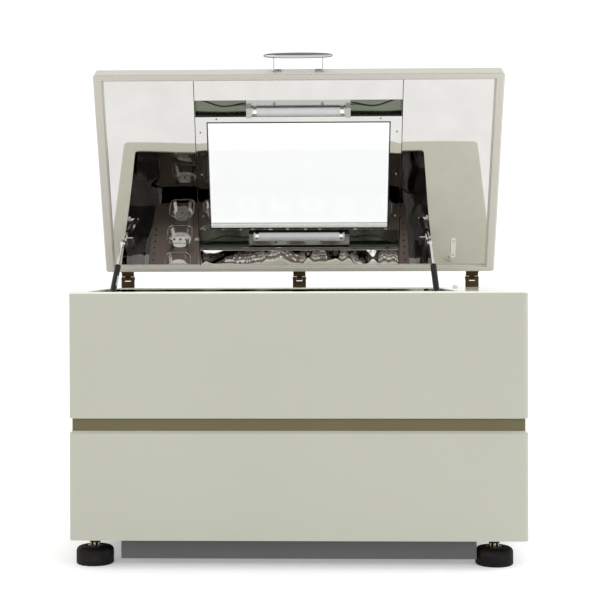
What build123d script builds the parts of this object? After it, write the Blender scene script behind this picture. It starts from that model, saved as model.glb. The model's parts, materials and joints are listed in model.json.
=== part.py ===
from build123d import *
import os
from math import atan2, cos, floor, hypot, radians, sin

# A chest-type orbital shaker incubator with its lid open, in millimetres.
# X runs to the right, Y to the back and Z up from the floor.
# X = 0 is the middle of the cabinet.  Y = 0 is midway between the front face
# and the back of the open lid, which leans out behind the cabinet.

os.makedirs("parts", exist_ok=True)

# ---------------------------------------------------------------- driving sizes

# cabinet
cabinet_width = 1200
cabinet_depth = 650
cabinet_height = 651
foot_height = 75
lower_tier_height = 287
waist_height = 33
waist_recess = 7
corner_radius = 14
sheet = 2
deck_thickness = 4
deck_edge_radius = 2.5
panel_wrap = 30
running_clearance = 0.05
lid_lean = 25

# chamber
chamber_wall_left = 42
chamber_wall_front = 43
chamber_wall_rear = 70
machine_bay_width = 183
chamber_depth = 262
chamber_corner_radius = 12
liner_sheet = 1.5
insulation_thickness = 31
floor_insulation = 40
insulation_corner_radius = 12
fan_opening_radius = 78
fan_below_deck = 172
seam_gap = 0.05

# base frame, pan and feet
rail_size = 40
rail_wall = 3
rail_clearance = 4
foot_radius = 50
foot_pad_height = 46
foot_edge_radius = 12
foot_inset_x = 68
foot_shift_x = -12
foot_inset_y = 80
stud_radius = 8
foot_plate_size = 100
foot_plate_thickness = 6
jam_nut_radius = 14
jam_nut_height = 10
pan_setback = 50
pan_gap_to_floor = 18
pan_side_inset = 130

# drive
orbit_radius = 13
platform_drop = 209
platform_sheet = 3
platform_gap_x = 53
platform_gap_y = 29
carrier_thickness = 12
carrier_bar_width = 60
shaft_radius = 12.5
shaft_bearing_radius = 26
shaft_bearing_height = 15
crank_flange_radius = 35
crank_flange_height = 20
crank_floor_gap = 4
crank_pin_radius = 10
crank_pin_bearing_radius = 22
idler_pin_radius = 6
idler_bearing_radius = 16
idler_web_radius = 12
idler_web_height = 9
idler_housing_radius = 25
idler_housing_height = 20
idler_spacing_x = 320
idler_offset_y = 110
counterweight_radius = 120
drive_plate_thickness = 8
housing_height = 70
housing_radius = 45
driven_pulley_radius = 110
motor_pulley_radius = 36.5
pulley_height = 25
belt_thickness = 4
belt_height = 17
belt_clearance = 0.3
motor_distance = 210
motor_radius = 55

# flask clamps
clamp_pitch_x = 112
clamp_pitch_y = 125
clamp_margin_x = 50
clamp_margin_y = 10
clamp_radius = 36
clamp_sheet = 1.5
clamp_height = 38
finger_width = 13
finger_seat_gap = 0.02
spring_size = 80
spring_corner = 22
spring_wire = 3
spring_height = 30
margin_hole_radius = 3
margin_hole_pitch = 28
margin_hole_inset = 14

# lid
lid_side_margin = 8
lid_rear_margin = 26.6
lid_height = 54
lid_sheet = 2
lid_corner_radius = 8
lid_edge_radius = 7
lid_open_angle = 66
closed_gap = 0.4
pin_setback = 6.4
pin_rise = 27
pin_radius = 3
seal_inset = 2.5
seal_step = 2.5
seal_height = 6
rim_width = 27
rim_front_width = 20
rim_rear_width = 18
liner_recess = 14
lamp_tray_depth = 28
tray_lap = 8
window_width = 532
window_length = 331
window_rear_inset = 142
trim_side = 36
trim_front = 18.5
trim_rear = 7
strip_front_length = 61
strip_rear_length = 58.5
glass_thickness = 5

# hinges
hinge_width = 40.6
hinge_spacing = 529
knuckle_radius = 6
leaf_thickness = 3

# gas struts
strut_wall_offset = 21
strut_foot_from_front = 319.5
strut_foot_below_deck = 48.5
ball_from_pin = 130.2
ball_below_pin = 28
strut_tube_radius = 9
strut_tube_bore = 7.2
strut_rod_radius = 4
strut_tube_length = 193
strut_eye_radius = 7
strut_stud_radius = 4
strut_piston_length = 12

# ---------------------------------------------------------------- worked-out places

half_width = cabinet_width / 2
front_y = -(cabinet_depth + lid_lean) / 2
rear_y = front_y + cabinet_depth
middle_y = (front_y + rear_y) / 2
skirt_z = foot_height
ledge_z = skirt_z + lower_tier_height
waist_z = ledge_z + waist_height
deck_z = skirt_z + cabinet_height
deck_under = deck_z - deck_thickness

chamber_x = (-half_width + chamber_wall_left, half_width - machine_bay_width)
chamber_y = (front_y + chamber_wall_front, rear_y - chamber_wall_rear)
chamber_mid = (sum(chamber_x) / 2, sum(chamber_y) / 2)
floor_z = deck_z - chamber_depth

pin_y = rear_y + pin_setback
pin_z = deck_z + pin_rise
lid_tilt = radians(lid_open_angle)

# The open lid's own frame: its origin is on the hinge pins, its y runs to the
# lid's back edge and its z out of the lid's outer face.
lid_frame = Plane(
    origin=(0, pin_y, pin_z), x_dir=(1, 0, 0), z_dir=(0, sin(lid_tilt), cos(lid_tilt))
)
lid_width = cabinet_width - 2 * lid_side_margin
lid_back = -(lid_rear_margin + pin_setback)
lid_front = -(cabinet_depth + pin_setback)
lid_length = lid_back - lid_front
lid_mid = (lid_back + lid_front) / 2
seal_face = closed_gap - pin_rise
rim_face = seal_face + seal_height
lid_top = rim_face + lid_height
liner_face = seal_face + liner_recess
liner_half = lid_width / 2 - rim_width
liner_y = (lid_front + rim_front_width, lid_back - rim_rear_width)
trim_half = window_width / 2 + trim_side
window_y = (
    lid_back - window_rear_inset - window_length,
    lid_back - window_rear_inset,
)
trim_y = (window_y[0] - trim_front, window_y[1] + trim_rear)


# ---------------------------------------------------------------- helpers


def finish(piece, name):
    """Label a finished piece and write it."""
    piece.part.label = name
    export_step(piece.part, f"parts/{name}.step")


def block(x, y, z, frame=Plane.XY, mode=Mode.ADD):
    """A box between two x, two y and two z in a frame."""
    corner = Location(((x[0] + x[1]) / 2, (y[0] + y[1]) / 2, z[0]))
    with Locations(frame.location * corner):
        Box(
            x[1] - x[0],
            y[1] - y[0],
            z[1] - z[0],
            align=(Align.CENTER, Align.CENTER, Align.MIN),
            mode=mode,
        )


def post(x, y, z, radius, frame=Plane.XY, mode=Mode.ADD):
    """A cylinder along a frame's z, between two z."""
    with Locations(frame.location * Location((x, y, z[0]))):
        Cylinder(
            radius,
            z[1] - z[0],
            align=(Align.CENTER, Align.CENTER, Align.MIN),
            mode=mode,
        )


def along_x(x, y, z, radius, frame=Plane.XY, mode=Mode.ADD):
    """A cylinder along X, between two x, centred on y and z in a frame."""
    turned = frame.location * Location((x[0], y, z), (0, 90, 0))
    with Locations(turned):
        Cylinder(
            radius,
            x[1] - x[0],
            align=(Align.CENTER, Align.CENTER, Align.MIN),
            mode=mode,
        )


def body_ring(z, inset, thickness, y, mode=Mode.ADD):
    """A stretch of the cabinet's rounded outline, between two z and two y."""
    with BuildSketch(Plane.XY.offset(z[0])) as ring:
        with Locations((0, middle_y)):
            RectangleRounded(
                cabinet_width - 2 * inset,
                cabinet_depth - 2 * inset,
                corner_radius - inset,
            )
            inner = inset + thickness
            RectangleRounded(
                cabinet_width - 2 * inner,
                cabinet_depth - 2 * inner,
                max(corner_radius - inner, 1),
                mode=Mode.SUBTRACT,
            )
        with Locations((0, (y[0] + y[1]) / 2)):
            Rectangle(2 * cabinet_width, y[1] - y[0], mode=Mode.INTERSECT)
    extrude(ring.sketch, amount=z[1] - z[0], mode=mode)


def outer_edges(edges, z):
    """The edges at a height that lie on the cabinet's outline."""
    level = edges.filter_by_position(Axis.Z, z - 0.01, z + 0.01)
    chosen = []
    for edge in level:
        middle = edge.center()
        on_side = abs(abs(middle.X) - half_width) < 0.01
        on_face = min(abs(middle.Y - front_y), abs(middle.Y - rear_y)) < 0.01
        if edge.geom_type == GeomType.CIRCLE:
            if abs(edge.radius - corner_radius) < 0.01:
                chosen.append(edge)
        elif on_side or on_face:
            chosen.append(edge)
    return chosen


def lower_panel(y):
    """A lower-tier panel with its sloping ledge."""
    thick = waist_recess + sheet
    body_ring((skirt_z, ledge_z - thick), 0, sheet, y)
    body_ring((ledge_z - thick, ledge_z), 0, thick, y)


def upper_panel(y):
    """An upper-tier panel with the return that covers the waist."""
    body_ring((waist_z + sheet, deck_under), 0, sheet, y)
    body_ring((waist_z, waist_z + sheet), 0, waist_recess + sheet, y)


def lid_ring(z, inset, side, front, rear):
    """A ring that follows the lid's outline, with its width at the sides, front and rear."""
    with BuildSketch(lid_frame.offset(z[0])) as ring:
        with Locations((0, lid_mid)):
            RectangleRounded(
                lid_width - 2 * inset,
                lid_length - 2 * inset,
                max(lid_corner_radius - inset, 1),
            )
        with Locations((0, lid_mid + (front - rear) / 2)):
            Rectangle(
                lid_width - 2 * (inset + side),
                lid_length - 2 * inset - front - rear,
                mode=Mode.SUBTRACT,
            )
    extrude(ring.sketch, amount=z[1] - z[0])


front_stretch = (front_y - 1, front_y + panel_wrap)
side_stretch = (front_y + panel_wrap, rear_y - panel_wrap)
rear_stretch = (rear_y - panel_wrap, rear_y + 1)

# ---------------------------------------------------------------- cabinet panels

with BuildPart() as lower_front_panel:
    lower_panel(front_stretch)
    chamfer(outer_edges(lower_front_panel.edges(), ledge_z), waist_recess - 0.2)
finish(lower_front_panel, "lower_front_panel")

with BuildPart() as upper_front_panel:
    upper_panel(front_stretch)
finish(upper_front_panel, "upper_front_panel")

# mains switch in the right side, near the front
switch_y = front_y + 88
switch_z = deck_z - 48
switch_length = 24
switch_height = 16
bezel_border = 4
bezel_thickness = 2

# cable gland low in the back
gland_x = -half_width + 150
gland_z = skirt_z + 105
gland_radius = 12
gland_bore = 4.5
gland_reach = 22

with BuildPart() as side_panels:
    lower_panel(side_stretch)
    chamfer(outer_edges(side_panels.edges(), ledge_z), waist_recess - 0.2)
    upper_panel(side_stretch)
    block(
        (half_width - 2 * sheet, half_width + 1),
        (switch_y - switch_length / 2, switch_y + switch_length / 2),
        (switch_z - switch_height / 2, switch_z + switch_height / 2),
        mode=Mode.SUBTRACT,
    )
finish(side_panels, "side_panels")

louvre_count = 9
louvre_pitch = 16
louvre_length = 320
louvre_height = 6
louvre_x = half_width - 260

with BuildPart() as back_panels:
    lower_panel(rear_stretch)
    chamfer(outer_edges(back_panels.edges(), ledge_z), waist_recess - 0.2)
    upper_panel(rear_stretch)
    for row in range(louvre_count):
        slot_z = gland_z - 40 + row * louvre_pitch
        block(
            (louvre_x - louvre_length / 2, louvre_x + louvre_length / 2),
            (rear_y - 2 * sheet, rear_y + 1),
            (slot_z, slot_z + louvre_height),
            mode=Mode.SUBTRACT,
        )
    post(
        gland_x,
        -gland_z,
        (rear_y - 2 * sheet, rear_y + 1),
        gland_radius - 2,
        frame=Plane.XZ.rotated((180, 0, 0)),
        mode=Mode.SUBTRACT,
    )
finish(back_panels, "back_panels")

with BuildPart() as waist_strip:
    body_ring((ledge_z, waist_z), waist_recess, sheet, (front_y, rear_y))
finish(waist_strip, "waist_strip")

with BuildPart() as deck_plate:
    with BuildSketch(Plane.XY.offset(deck_under)):
        with Locations((0, middle_y)):
            RectangleRounded(cabinet_width, cabinet_depth, corner_radius)
        with Locations(chamber_mid):
            RectangleRounded(
                chamber_x[1] - chamber_x[0],
                chamber_y[1] - chamber_y[0],
                chamber_corner_radius,
                mode=Mode.SUBTRACT,
            )
    extrude(amount=deck_thickness)
    fillet(outer_edges(deck_plate.edges(), deck_z), deck_edge_radius)
finish(deck_plate, "deck_plate")

# ---------------------------------------------------------------- base frame, pan, feet

rail_z = skirt_z + rail_clearance / 2
frame_x = half_width - sheet - rail_clearance
frame_y = (front_y + sheet + rail_clearance, rear_y - sheet - rail_clearance)
foot_x = half_width - foot_inset_x
foot_ys = (front_y + foot_inset_y, rear_y - foot_inset_y)
foot_spots = {
    "front_left": (foot_shift_x - foot_x, foot_ys[0]),
    "front_right": (foot_shift_x + foot_x, foot_ys[0]),
    "rear_left": (foot_shift_x - foot_x, foot_ys[1]),
    "rear_right": (foot_shift_x + foot_x, foot_ys[1]),
}


def rail_along_x(y, x):
    """A square tube along X whose front face is at y."""
    inner = rail_wall
    block(x, (y, y + rail_size), (rail_z, rail_z + rail_size))
    block(
        (x[0] - 1, x[1] + 1),
        (y + inner, y + rail_size - inner),
        (rail_z + inner, rail_z + rail_size - inner),
        mode=Mode.SUBTRACT,
    )


def rail_along_y(x):
    """A square tube along Y, between the two long rails."""
    inner = rail_wall
    reach = (frame_y[0] + rail_size + seam_gap, frame_y[1] - rail_size - seam_gap)
    block((x, x + rail_size), reach, (rail_z, rail_z + rail_size))
    block(
        (x + inner, x + rail_size - inner),
        reach,
        (rail_z + inner, rail_z + rail_size - inner),
        mode=Mode.SUBTRACT,
    )


foot_plate_z = rail_z - foot_plate_thickness

with BuildPart() as base_frame:
    for rail_start in (
        -frame_x,
        chamber_mid[0] - idler_spacing_x - rail_size / 2,
        chamber_mid[0] + idler_spacing_x - rail_size / 2,
        frame_x - rail_size,
    ):
        rail_along_y(rail_start)
    for rail_front in (frame_y[0], frame_y[1] - rail_size):
        rail_along_x(rail_front, (-frame_x, frame_x))
    for spot in foot_spots.values():
        block(
            (spot[0] - foot_plate_size / 2, spot[0] + foot_plate_size / 2),
            (spot[1] - foot_plate_size / 2, spot[1] + foot_plate_size / 2),
            (foot_plate_z, rail_z - seam_gap),
        )
        post(
            spot[0],
            spot[1],
            (foot_plate_z - 1, rail_z + 1),
            stud_radius + running_clearance,
            mode=Mode.SUBTRACT,
        )
finish(base_frame, "base_frame")

pan_x = half_width - pan_side_inset
pan_y = (front_y + pan_setback, rear_y - pan_setback)
pan_sheet = sheet

with BuildPart() as base_pan:
    block((-pan_x, pan_x), pan_y, (pan_gap_to_floor, rail_z))
    block(
        (-pan_x + pan_sheet, pan_x - pan_sheet),
        (pan_y[0] + pan_sheet, pan_y[1] - pan_sheet),
        (pan_gap_to_floor + pan_sheet, rail_z + 1),
        mode=Mode.SUBTRACT,
    )
finish(base_pan, "base_pan")

stud_top = rail_z + rail_size / 2
nut_z = foot_pad_height + 3

for corner_name, spot in foot_spots.items():
    with BuildPart() as foot:
        with BuildSketch(Plane.XY):
            with Locations(spot):
                Circle(foot_radius)
        extrude(amount=foot_pad_height)
        fillet(foot.edges().group_by(Axis.Z)[-1], foot_edge_radius)
        chamfer(foot.edges().group_by(Axis.Z)[0], 3)
        with BuildSketch(Plane.XY.offset(nut_z)):
            with Locations(spot):
                RegularPolygon(jam_nut_radius, 6)
        extrude(amount=jam_nut_height)
        post(spot[0], spot[1], (foot_pad_height - 1, stud_top), stud_radius)
    finish(foot, f"foot_{corner_name}")

# ---------------------------------------------------------------- chamber

shaft_hole_radius = shaft_radius + 6
liner_x = (chamber_x[0] - liner_sheet, chamber_x[1] + liner_sheet)
liner_outer_y = (chamber_y[0] - liner_sheet, chamber_y[1] + liner_sheet)
fan_z = deck_z - fan_below_deck
fan_axis = (chamber_mid[1], fan_z)

with BuildPart() as chamber_liner:
    wall_z = (floor_z + seam_gap, deck_under)
    between = (chamber_x[0] + seam_gap, chamber_x[1] - seam_gap)
    block((liner_x[0], chamber_x[0]), liner_outer_y, wall_z)
    block((chamber_x[1], liner_x[1]), liner_outer_y, wall_z)
    along_x((chamber_x[1] - 1, liner_x[1] + 1), *fan_axis, fan_opening_radius, mode=Mode.SUBTRACT)
    block(between, (liner_outer_y[0], chamber_y[0]), wall_z)
    block(between, (chamber_y[1], liner_outer_y[1]), wall_z)
    block(liner_x, liner_outer_y, (floor_z - liner_sheet, floor_z))
    post(*chamber_mid, (floor_z - 5, floor_z + 1), shaft_hole_radius, mode=Mode.SUBTRACT)
finish(chamber_liner, "chamber_liner")

foam_x = (liner_x[0] - insulation_thickness, liner_x[1] + insulation_thickness)
foam_y = (liner_outer_y[0] - insulation_thickness, liner_outer_y[1] + insulation_thickness)
foam_bottom = floor_z - liner_sheet - floor_insulation

with BuildPart() as insulation_slabs:
    foam_z = (foam_bottom, deck_under)
    between = (liner_x[0] + seam_gap, liner_x[1] - seam_gap)
    under_floor = (liner_outer_y[0] + seam_gap, liner_outer_y[1] - seam_gap)
    block((foam_x[0], liner_x[0]), foam_y, foam_z)
    block((liner_x[1], foam_x[1]), foam_y, foam_z)
    along_x((liner_x[1] - 1, foam_x[1] + 1), *fan_axis, fan_opening_radius, mode=Mode.SUBTRACT)
    block(between, (foam_y[0], liner_outer_y[0]), foam_z)
    block(between, (liner_outer_y[1], foam_y[1]), foam_z)
    block(between, under_floor, (foam_bottom, floor_z - liner_sheet))
    post(*chamber_mid, (foam_bottom - 1, floor_z), shaft_hole_radius, mode=Mode.SUBTRACT)
    foam_corners = [
        edge
        for edge in insulation_slabs.edges().filter_by(Axis.Z)
        if min(abs(edge.center().X - x) for x in foam_x) < 0.1
        and min(abs(edge.center().Y - y) for y in foam_y) < 0.1
    ]
    fillet(foam_corners, insulation_corner_radius)
finish(insulation_slabs, "insulation_slabs")

# ---------------------------------------------------------------- air circulation

grille_wire = 1.5
grille_rings = 6
grille_border = 8
grille_plane = Plane(
    origin=(chamber_x[1] - 2 * grille_wire, *fan_axis), x_dir=(0, 1, 0), z_dir=(1, 0, 0)
)

with BuildPart() as fan_grille:
    with BuildSketch(grille_plane):
        Circle(fan_opening_radius + grille_border)
        Circle(fan_opening_radius - grille_wire, mode=Mode.SUBTRACT)
        for ring in range(1, grille_rings):
            ring_radius = ring * fan_opening_radius / grille_rings
            Circle(ring_radius + grille_wire)
            Circle(ring_radius - grille_wire, mode=Mode.SUBTRACT)
        for spoke_turn in (0, 60, 120):
            Rectangle(2 * fan_opening_radius, 2 * grille_wire, rotation=spoke_turn)
    extrude(amount=2 * grille_wire)
finish(fan_grille, "fan_grille")

fan_motor_x = (foam_x[1] + 35, foam_x[1] + 85)
fan_motor_radius = 34
fan_shaft_radius = 4
impeller_radius = fan_opening_radius - 8
impeller_x = (foam_x[1] - 12, foam_x[1] + 12)

with BuildPart() as fan_motor:
    along_x(fan_motor_x, *fan_axis, fan_motor_radius)
    block(
        (fan_motor_x[0] + 10, fan_motor_x[0] + 14),
        (fan_axis[0] - fan_opening_radius - 20, fan_axis[0] + fan_opening_radius + 20),
        (fan_axis[1] - 18, fan_axis[1] + 18),
    )
finish(fan_motor, "fan_motor")

blade_count = 7
impeller_hub = 22

with BuildPart() as circulation_fan:
    along_x(impeller_x, *fan_axis, impeller_hub)
    along_x((impeller_x[1] - 1, fan_motor_x[0] - 1), *fan_axis, fan_shaft_radius)
    blade_middle = Plane(
        origin=((impeller_x[0] + impeller_x[1]) / 2, *fan_axis), x_dir=(0, 1, 0), z_dir=(1, 0, 0)
    )
    blade_length = impeller_radius - impeller_hub + 3
    blade_reach = impeller_hub - 3 + blade_length / 2
    for blade in range(blade_count):
        spin = Location((0, 0, 0), (0, 0, blade * 360 / blade_count))
        lean = Location((blade_reach, 0, 0), (35, 0, 0))
        with Locations(blade_middle.location * spin * lean):
            Box(blade_length, 26, 1.6)
finish(circulation_fan, "circulation_fan")

heater_rod = 4
heater_x = impeller_x[1] + 12
heater_half = fan_opening_radius + 10

with BuildPart() as heater_element:
    with BuildLine() as heater_path:
        FilletPolyline(
            (foam_x[1] + 2, fan_axis[0] - heater_half, fan_z + 60),
            (heater_x, fan_axis[0] - heater_half, fan_z + 60),
            (heater_x, fan_axis[0] - heater_half, fan_z - 100),
            (heater_x, fan_axis[0] + heater_half, fan_z - 100),
            (heater_x, fan_axis[0] + heater_half, fan_z + 60),
            (foam_x[1] + 2, fan_axis[0] + heater_half, fan_z + 60),
            radius=10,
        )
    with BuildSketch(heater_path.line ^ 0):
        Circle(heater_rod)
    sweep()
finish(heater_element, "heater_element")

# ---------------------------------------------------------------- drive

drive_top = foam_bottom
drive_under = drive_top - drive_plate_thickness
stand_post_size = 36
stand_half_depth = 200
pin_spot = (chamber_mid[0], chamber_mid[1] + orbit_radius)
idler_spots = {
    "left": (chamber_mid[0] - idler_spacing_x, chamber_mid[1] + idler_offset_y),
    "right": (chamber_mid[0] + idler_spacing_x, chamber_mid[1] + idler_offset_y),
}
housing_bottom = drive_under - housing_height
pulley_top = housing_bottom - 8
shaft_tail = 8
pulley_bottom = pulley_top - pulley_height
shaft_bottom = pulley_bottom - shaft_tail
motor_spot = (chamber_mid[0] - motor_distance, chamber_mid[1])
crank_bottom = floor_z + crank_floor_gap
crank_top = crank_bottom + crank_flange_height
platform_top = deck_z - platform_drop
platform_under = platform_top - platform_sheet
carrier_under = platform_under - carrier_thickness
pin_top = platform_under - 1

with BuildPart() as drive_stand:
    plate_x = idler_spacing_x + stand_post_size
    block(
        (chamber_mid[0] - plate_x, chamber_mid[0] + plate_x),
        (chamber_mid[1] - stand_half_depth, chamber_mid[1] + stand_half_depth),
        (drive_under, drive_top),
    )
    post(*chamber_mid, (drive_under - 1, drive_top + 1), shaft_bearing_radius, mode=Mode.SUBTRACT)
    for side in (-1, 1):
        for end in (-1, 1):
            leg_x = chamber_mid[0] + side * idler_spacing_x
            leg_y = chamber_mid[1] + end * (stand_half_depth - stand_post_size / 2)
            block(
                (leg_x - stand_post_size / 2, leg_x + stand_post_size / 2),
                (leg_y - stand_post_size / 2, leg_y + stand_post_size / 2),
                (rail_z + rail_size, drive_under),
            )
finish(drive_stand, "drive_stand")

idler_bearing_z = (
    floor_z + idler_housing_height - carrier_thickness,
    floor_z + idler_housing_height,
)

with BuildPart() as bearing_housings:
    post(*chamber_mid, (housing_bottom, drive_under), housing_radius)
    post(*chamber_mid, (drive_under - 6, drive_under), housing_radius + 18)
    post(
        *chamber_mid,
        (housing_bottom - 1, drive_under + 1),
        shaft_bearing_radius,
        mode=Mode.SUBTRACT,
    )
    for spot in idler_spots.values():
        post(*spot, (floor_z, floor_z + idler_housing_height), idler_housing_radius)
        post(
            *spot,
            (idler_bearing_z[0], floor_z + idler_housing_height + 1),
            idler_bearing_radius,
            mode=Mode.SUBTRACT,
        )
finish(bearing_housings, "bearing_housings")

with BuildPart() as shaft_bearings:
    for bearing_z in (housing_bottom, drive_under - shaft_bearing_height):
        span = (bearing_z, bearing_z + shaft_bearing_height)
        post(*chamber_mid, span, shaft_bearing_radius)
        post(*chamber_mid, span, shaft_radius + running_clearance, mode=Mode.SUBTRACT)
    for spot in idler_spots.values():
        post(*spot, idler_bearing_z, idler_bearing_radius)
        post(*spot, idler_bearing_z, idler_pin_radius + running_clearance, mode=Mode.SUBTRACT)
finish(shaft_bearings, "shaft_bearings")

with BuildPart() as main_shaft:
    post(*chamber_mid, (shaft_bottom, crank_bottom), shaft_radius)
    post(*chamber_mid, (crank_bottom, crank_top), crank_flange_radius)
    post(*pin_spot, (crank_top, pin_top), crank_pin_radius)
finish(main_shaft, "main_shaft")

with BuildPart() as counterweight:
    with BuildSketch(Plane.XY.offset(crank_bottom)):
        with Locations(chamber_mid):
            Circle(counterweight_radius)
            Circle(crank_flange_radius, mode=Mode.SUBTRACT)
        with Locations((chamber_mid[0], chamber_mid[1] - counterweight_radius / 2)):
            Rectangle(
                2 * counterweight_radius, counterweight_radius, mode=Mode.INTERSECT
            )
    extrude(amount=crank_flange_height)
    fillet(counterweight.edges().filter_by(Axis.Z), 4)
finish(counterweight, "counterweight")


def pulley(spot, radius, bore):
    """A pulley with a belt groove between two flanges."""
    flange = (pulley_height - belt_height) / 2 - 0.5
    with BuildSketch(Plane(origin=(*spot, 0), x_dir=(1, 0, 0), z_dir=(0, -1, 0))) as profile:
        with BuildLine():
            Polyline(
                (bore, pulley_bottom),
                (radius + belt_thickness, pulley_bottom),
                (radius + belt_thickness, pulley_bottom + flange),
                (radius, pulley_bottom + flange),
                (radius, pulley_top - flange),
                (radius + belt_thickness, pulley_top - flange),
                (radius + belt_thickness, pulley_top),
                (bore, pulley_top),
                close=True,
            )
        make_face()
    revolve(profile.sketch, axis=Axis((*spot, 0), (0, 0, 1)))


with BuildPart() as driven_pulley:
    pulley(chamber_mid, driven_pulley_radius, shaft_radius)
    with Locations((*chamber_mid, pulley_bottom)):
        with PolarLocations(driven_pulley_radius * 0.6, 5):
            Cylinder(
                driven_pulley_radius * 0.2,
                3 * pulley_height,
                mode=Mode.SUBTRACT,
            )
finish(driven_pulley, "driven_pulley")

motor_shaft_radius = 7

with BuildPart() as motor_pulley:
    pulley(motor_spot, motor_pulley_radius, 0)
    post(*motor_spot, (pulley_top, housing_bottom), motor_shaft_radius)
finish(motor_pulley, "motor_pulley")

with BuildPart() as drive_motor:
    post(*motor_spot, (housing_bottom + 2, drive_under), motor_radius)
    for rib in range(12):
        with Locations(
            Location((*motor_spot, housing_bottom + 8), (0, 0, rib * 30))
            * Location((motor_radius, 0, 0))
        ):
            Box(8, 4, housing_height - 20, align=(Align.CENTER, Align.CENTER, Align.MIN))
finish(drive_motor, "drive_motor")

belt_bottom = pulley_bottom + (pulley_height - belt_height) / 2


def belt_loop(thickness):
    """The face inside a belt that runs round both pulleys."""
    with BuildSketch(Plane.XY.offset(belt_bottom)) as loop:
        with Locations(chamber_mid):
            Circle(driven_pulley_radius + belt_clearance + thickness)
        with Locations(motor_spot):
            Circle(motor_pulley_radius + belt_clearance + thickness)
        make_hull()
    return loop.sketch


with BuildPart() as drive_belt:
    extrude(belt_loop(belt_thickness - 1), amount=belt_height)
    extrude(belt_loop(0), amount=belt_height, mode=Mode.SUBTRACT)
finish(drive_belt, "drive_belt")

for side_name, spot in idler_spots.items():
    upper_pin = (spot[0], spot[1] + orbit_radius)
    web_z = floor_z + idler_housing_height + 1.5
    web_top = web_z + idler_web_height
    with BuildPart() as idler_crank:
        post(*spot, (idler_bearing_z[0] + 1, web_z), idler_pin_radius)
        with BuildSketch(Plane.XY.offset(web_z)):
            with Locations((spot[0], spot[1] + orbit_radius / 2)):
                SlotCenterToCenter(orbit_radius, 2 * idler_web_radius, rotation=90)
        extrude(amount=idler_web_height)
        post(*upper_pin, (web_top, pin_top), idler_pin_radius)
    finish(idler_crank, f"idler_crank_{side_name}")

# ---------------------------------------------------------------- platform

platform_mid = pin_spot
platform_half_x = (chamber_x[1] - chamber_x[0]) / 2 - platform_gap_x
platform_half_y = (chamber_y[1] - chamber_y[0]) / 2 - platform_gap_y
platform_pins = {"centre": (pin_spot, crank_pin_radius, crank_pin_bearing_radius)}
for side_name, spot in idler_spots.items():
    upper_pin = (spot[0], spot[1] + orbit_radius)
    platform_pins[side_name] = (upper_pin, idler_pin_radius, idler_bearing_radius)

with BuildPart() as platform_carrier:
    with BuildSketch(Plane.XY.offset(carrier_under)):
        for bar_y in (-idler_offset_y, idler_offset_y):
            with Locations((platform_mid[0], platform_mid[1] + bar_y)):
                Rectangle(2 * idler_spacing_x + carrier_bar_width, carrier_bar_width)
        for bar_x in (-idler_spacing_x, 0, idler_spacing_x):
            with Locations((platform_mid[0] + bar_x, platform_mid[1])):
                Rectangle(carrier_bar_width, 2 * idler_offset_y + carrier_bar_width)
        for spot, _, outer in platform_pins.values():
            with Locations(spot):
                Circle(outer, mode=Mode.SUBTRACT)
    extrude(amount=carrier_thickness)
finish(platform_carrier, "platform_carrier")

with BuildPart() as platform_bearings:
    for spot, inner, outer in platform_pins.values():
        post(*spot, (carrier_under, platform_under), outer)
        post(*spot, (carrier_under, platform_under), inner + running_clearance, mode=Mode.SUBTRACT)
finish(platform_bearings, "platform_bearings")

clamp_room_x = 2 * (platform_half_x - clamp_radius - clamp_margin_x)
clamp_room_y = 2 * (platform_half_y - clamp_radius - clamp_margin_y)
clamp_columns = floor(clamp_room_x / clamp_pitch_x) + 1
clamp_rows = floor(clamp_room_y / clamp_pitch_y) + 1
clamp_spots = [
    (
        platform_mid[0] + (column - (clamp_columns - 1) / 2) * clamp_pitch_x,
        platform_mid[1] + (row - (clamp_rows - 1) / 2) * clamp_pitch_y,
    )
    for row in range(clamp_rows)
    for column in range(clamp_columns)
]

hole_columns = floor(2 * (platform_half_x - margin_hole_inset) / margin_hole_pitch) + 1
hole_rows = floor(2 * (platform_half_y - margin_hole_inset) / margin_hole_pitch) + 1
margin_hole_y = platform_half_y - margin_hole_inset
margin_hole_x = platform_half_x - margin_hole_inset

with BuildPart() as platform_plate:
    with BuildSketch(Plane.XY.offset(platform_under)):
        with Locations(platform_mid):
            RectangleRounded(2 * platform_half_x, 2 * platform_half_y, 8)
            with GridLocations(margin_hole_pitch, 2 * margin_hole_y, hole_columns, 2):
                Circle(margin_hole_radius, mode=Mode.SUBTRACT)
            with GridLocations(2 * margin_hole_x, margin_hole_pitch, 2, hole_rows - 2):
                Circle(margin_hole_radius, mode=Mode.SUBTRACT)
    extrude(amount=platform_sheet)
finish(platform_plate, "platform_plate")

finger_base = platform_top + clamp_sheet + finger_seat_gap
finger_inner = clamp_radius - clamp_sheet
finger_bulge = 4

with BuildPart() as one_clamp:
    with BuildSketch(Plane.XY.offset(platform_top)):
        Circle(clamp_radius)
    extrude(amount=clamp_sheet)
    for finger in range(4):
        turn = 45 + 90 * finger
        finger_side = Plane(
            origin=(0, 0, 0),
            x_dir=(cos(radians(turn)), sin(radians(turn)), 0),
            z_dir=(sin(radians(turn)), -cos(radians(turn)), 0),
        )
        with BuildSketch(finger_side.offset(-finger_width / 2)):
            with BuildLine():
                Polyline(
                    (finger_inner, finger_base),
                    (clamp_radius, finger_base),
                    (clamp_radius + finger_bulge, platform_top + spring_height),
                    (clamp_radius + finger_bulge + 3, platform_top + clamp_height),
                    (finger_inner + finger_bulge + 3, platform_top + clamp_height),
                    (finger_inner + finger_bulge, platform_top + spring_height),
                    close=True,
                )
            make_face()
        extrude(amount=finger_width, mode=Mode.ADD)

clamp_base = one_clamp.part
with BuildPart() as flask_clamps:
    with Locations(*[(x, y, 0) for x, y in clamp_spots]):
        add(clamp_base)
finish(flask_clamps, "flask_clamps")

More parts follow.
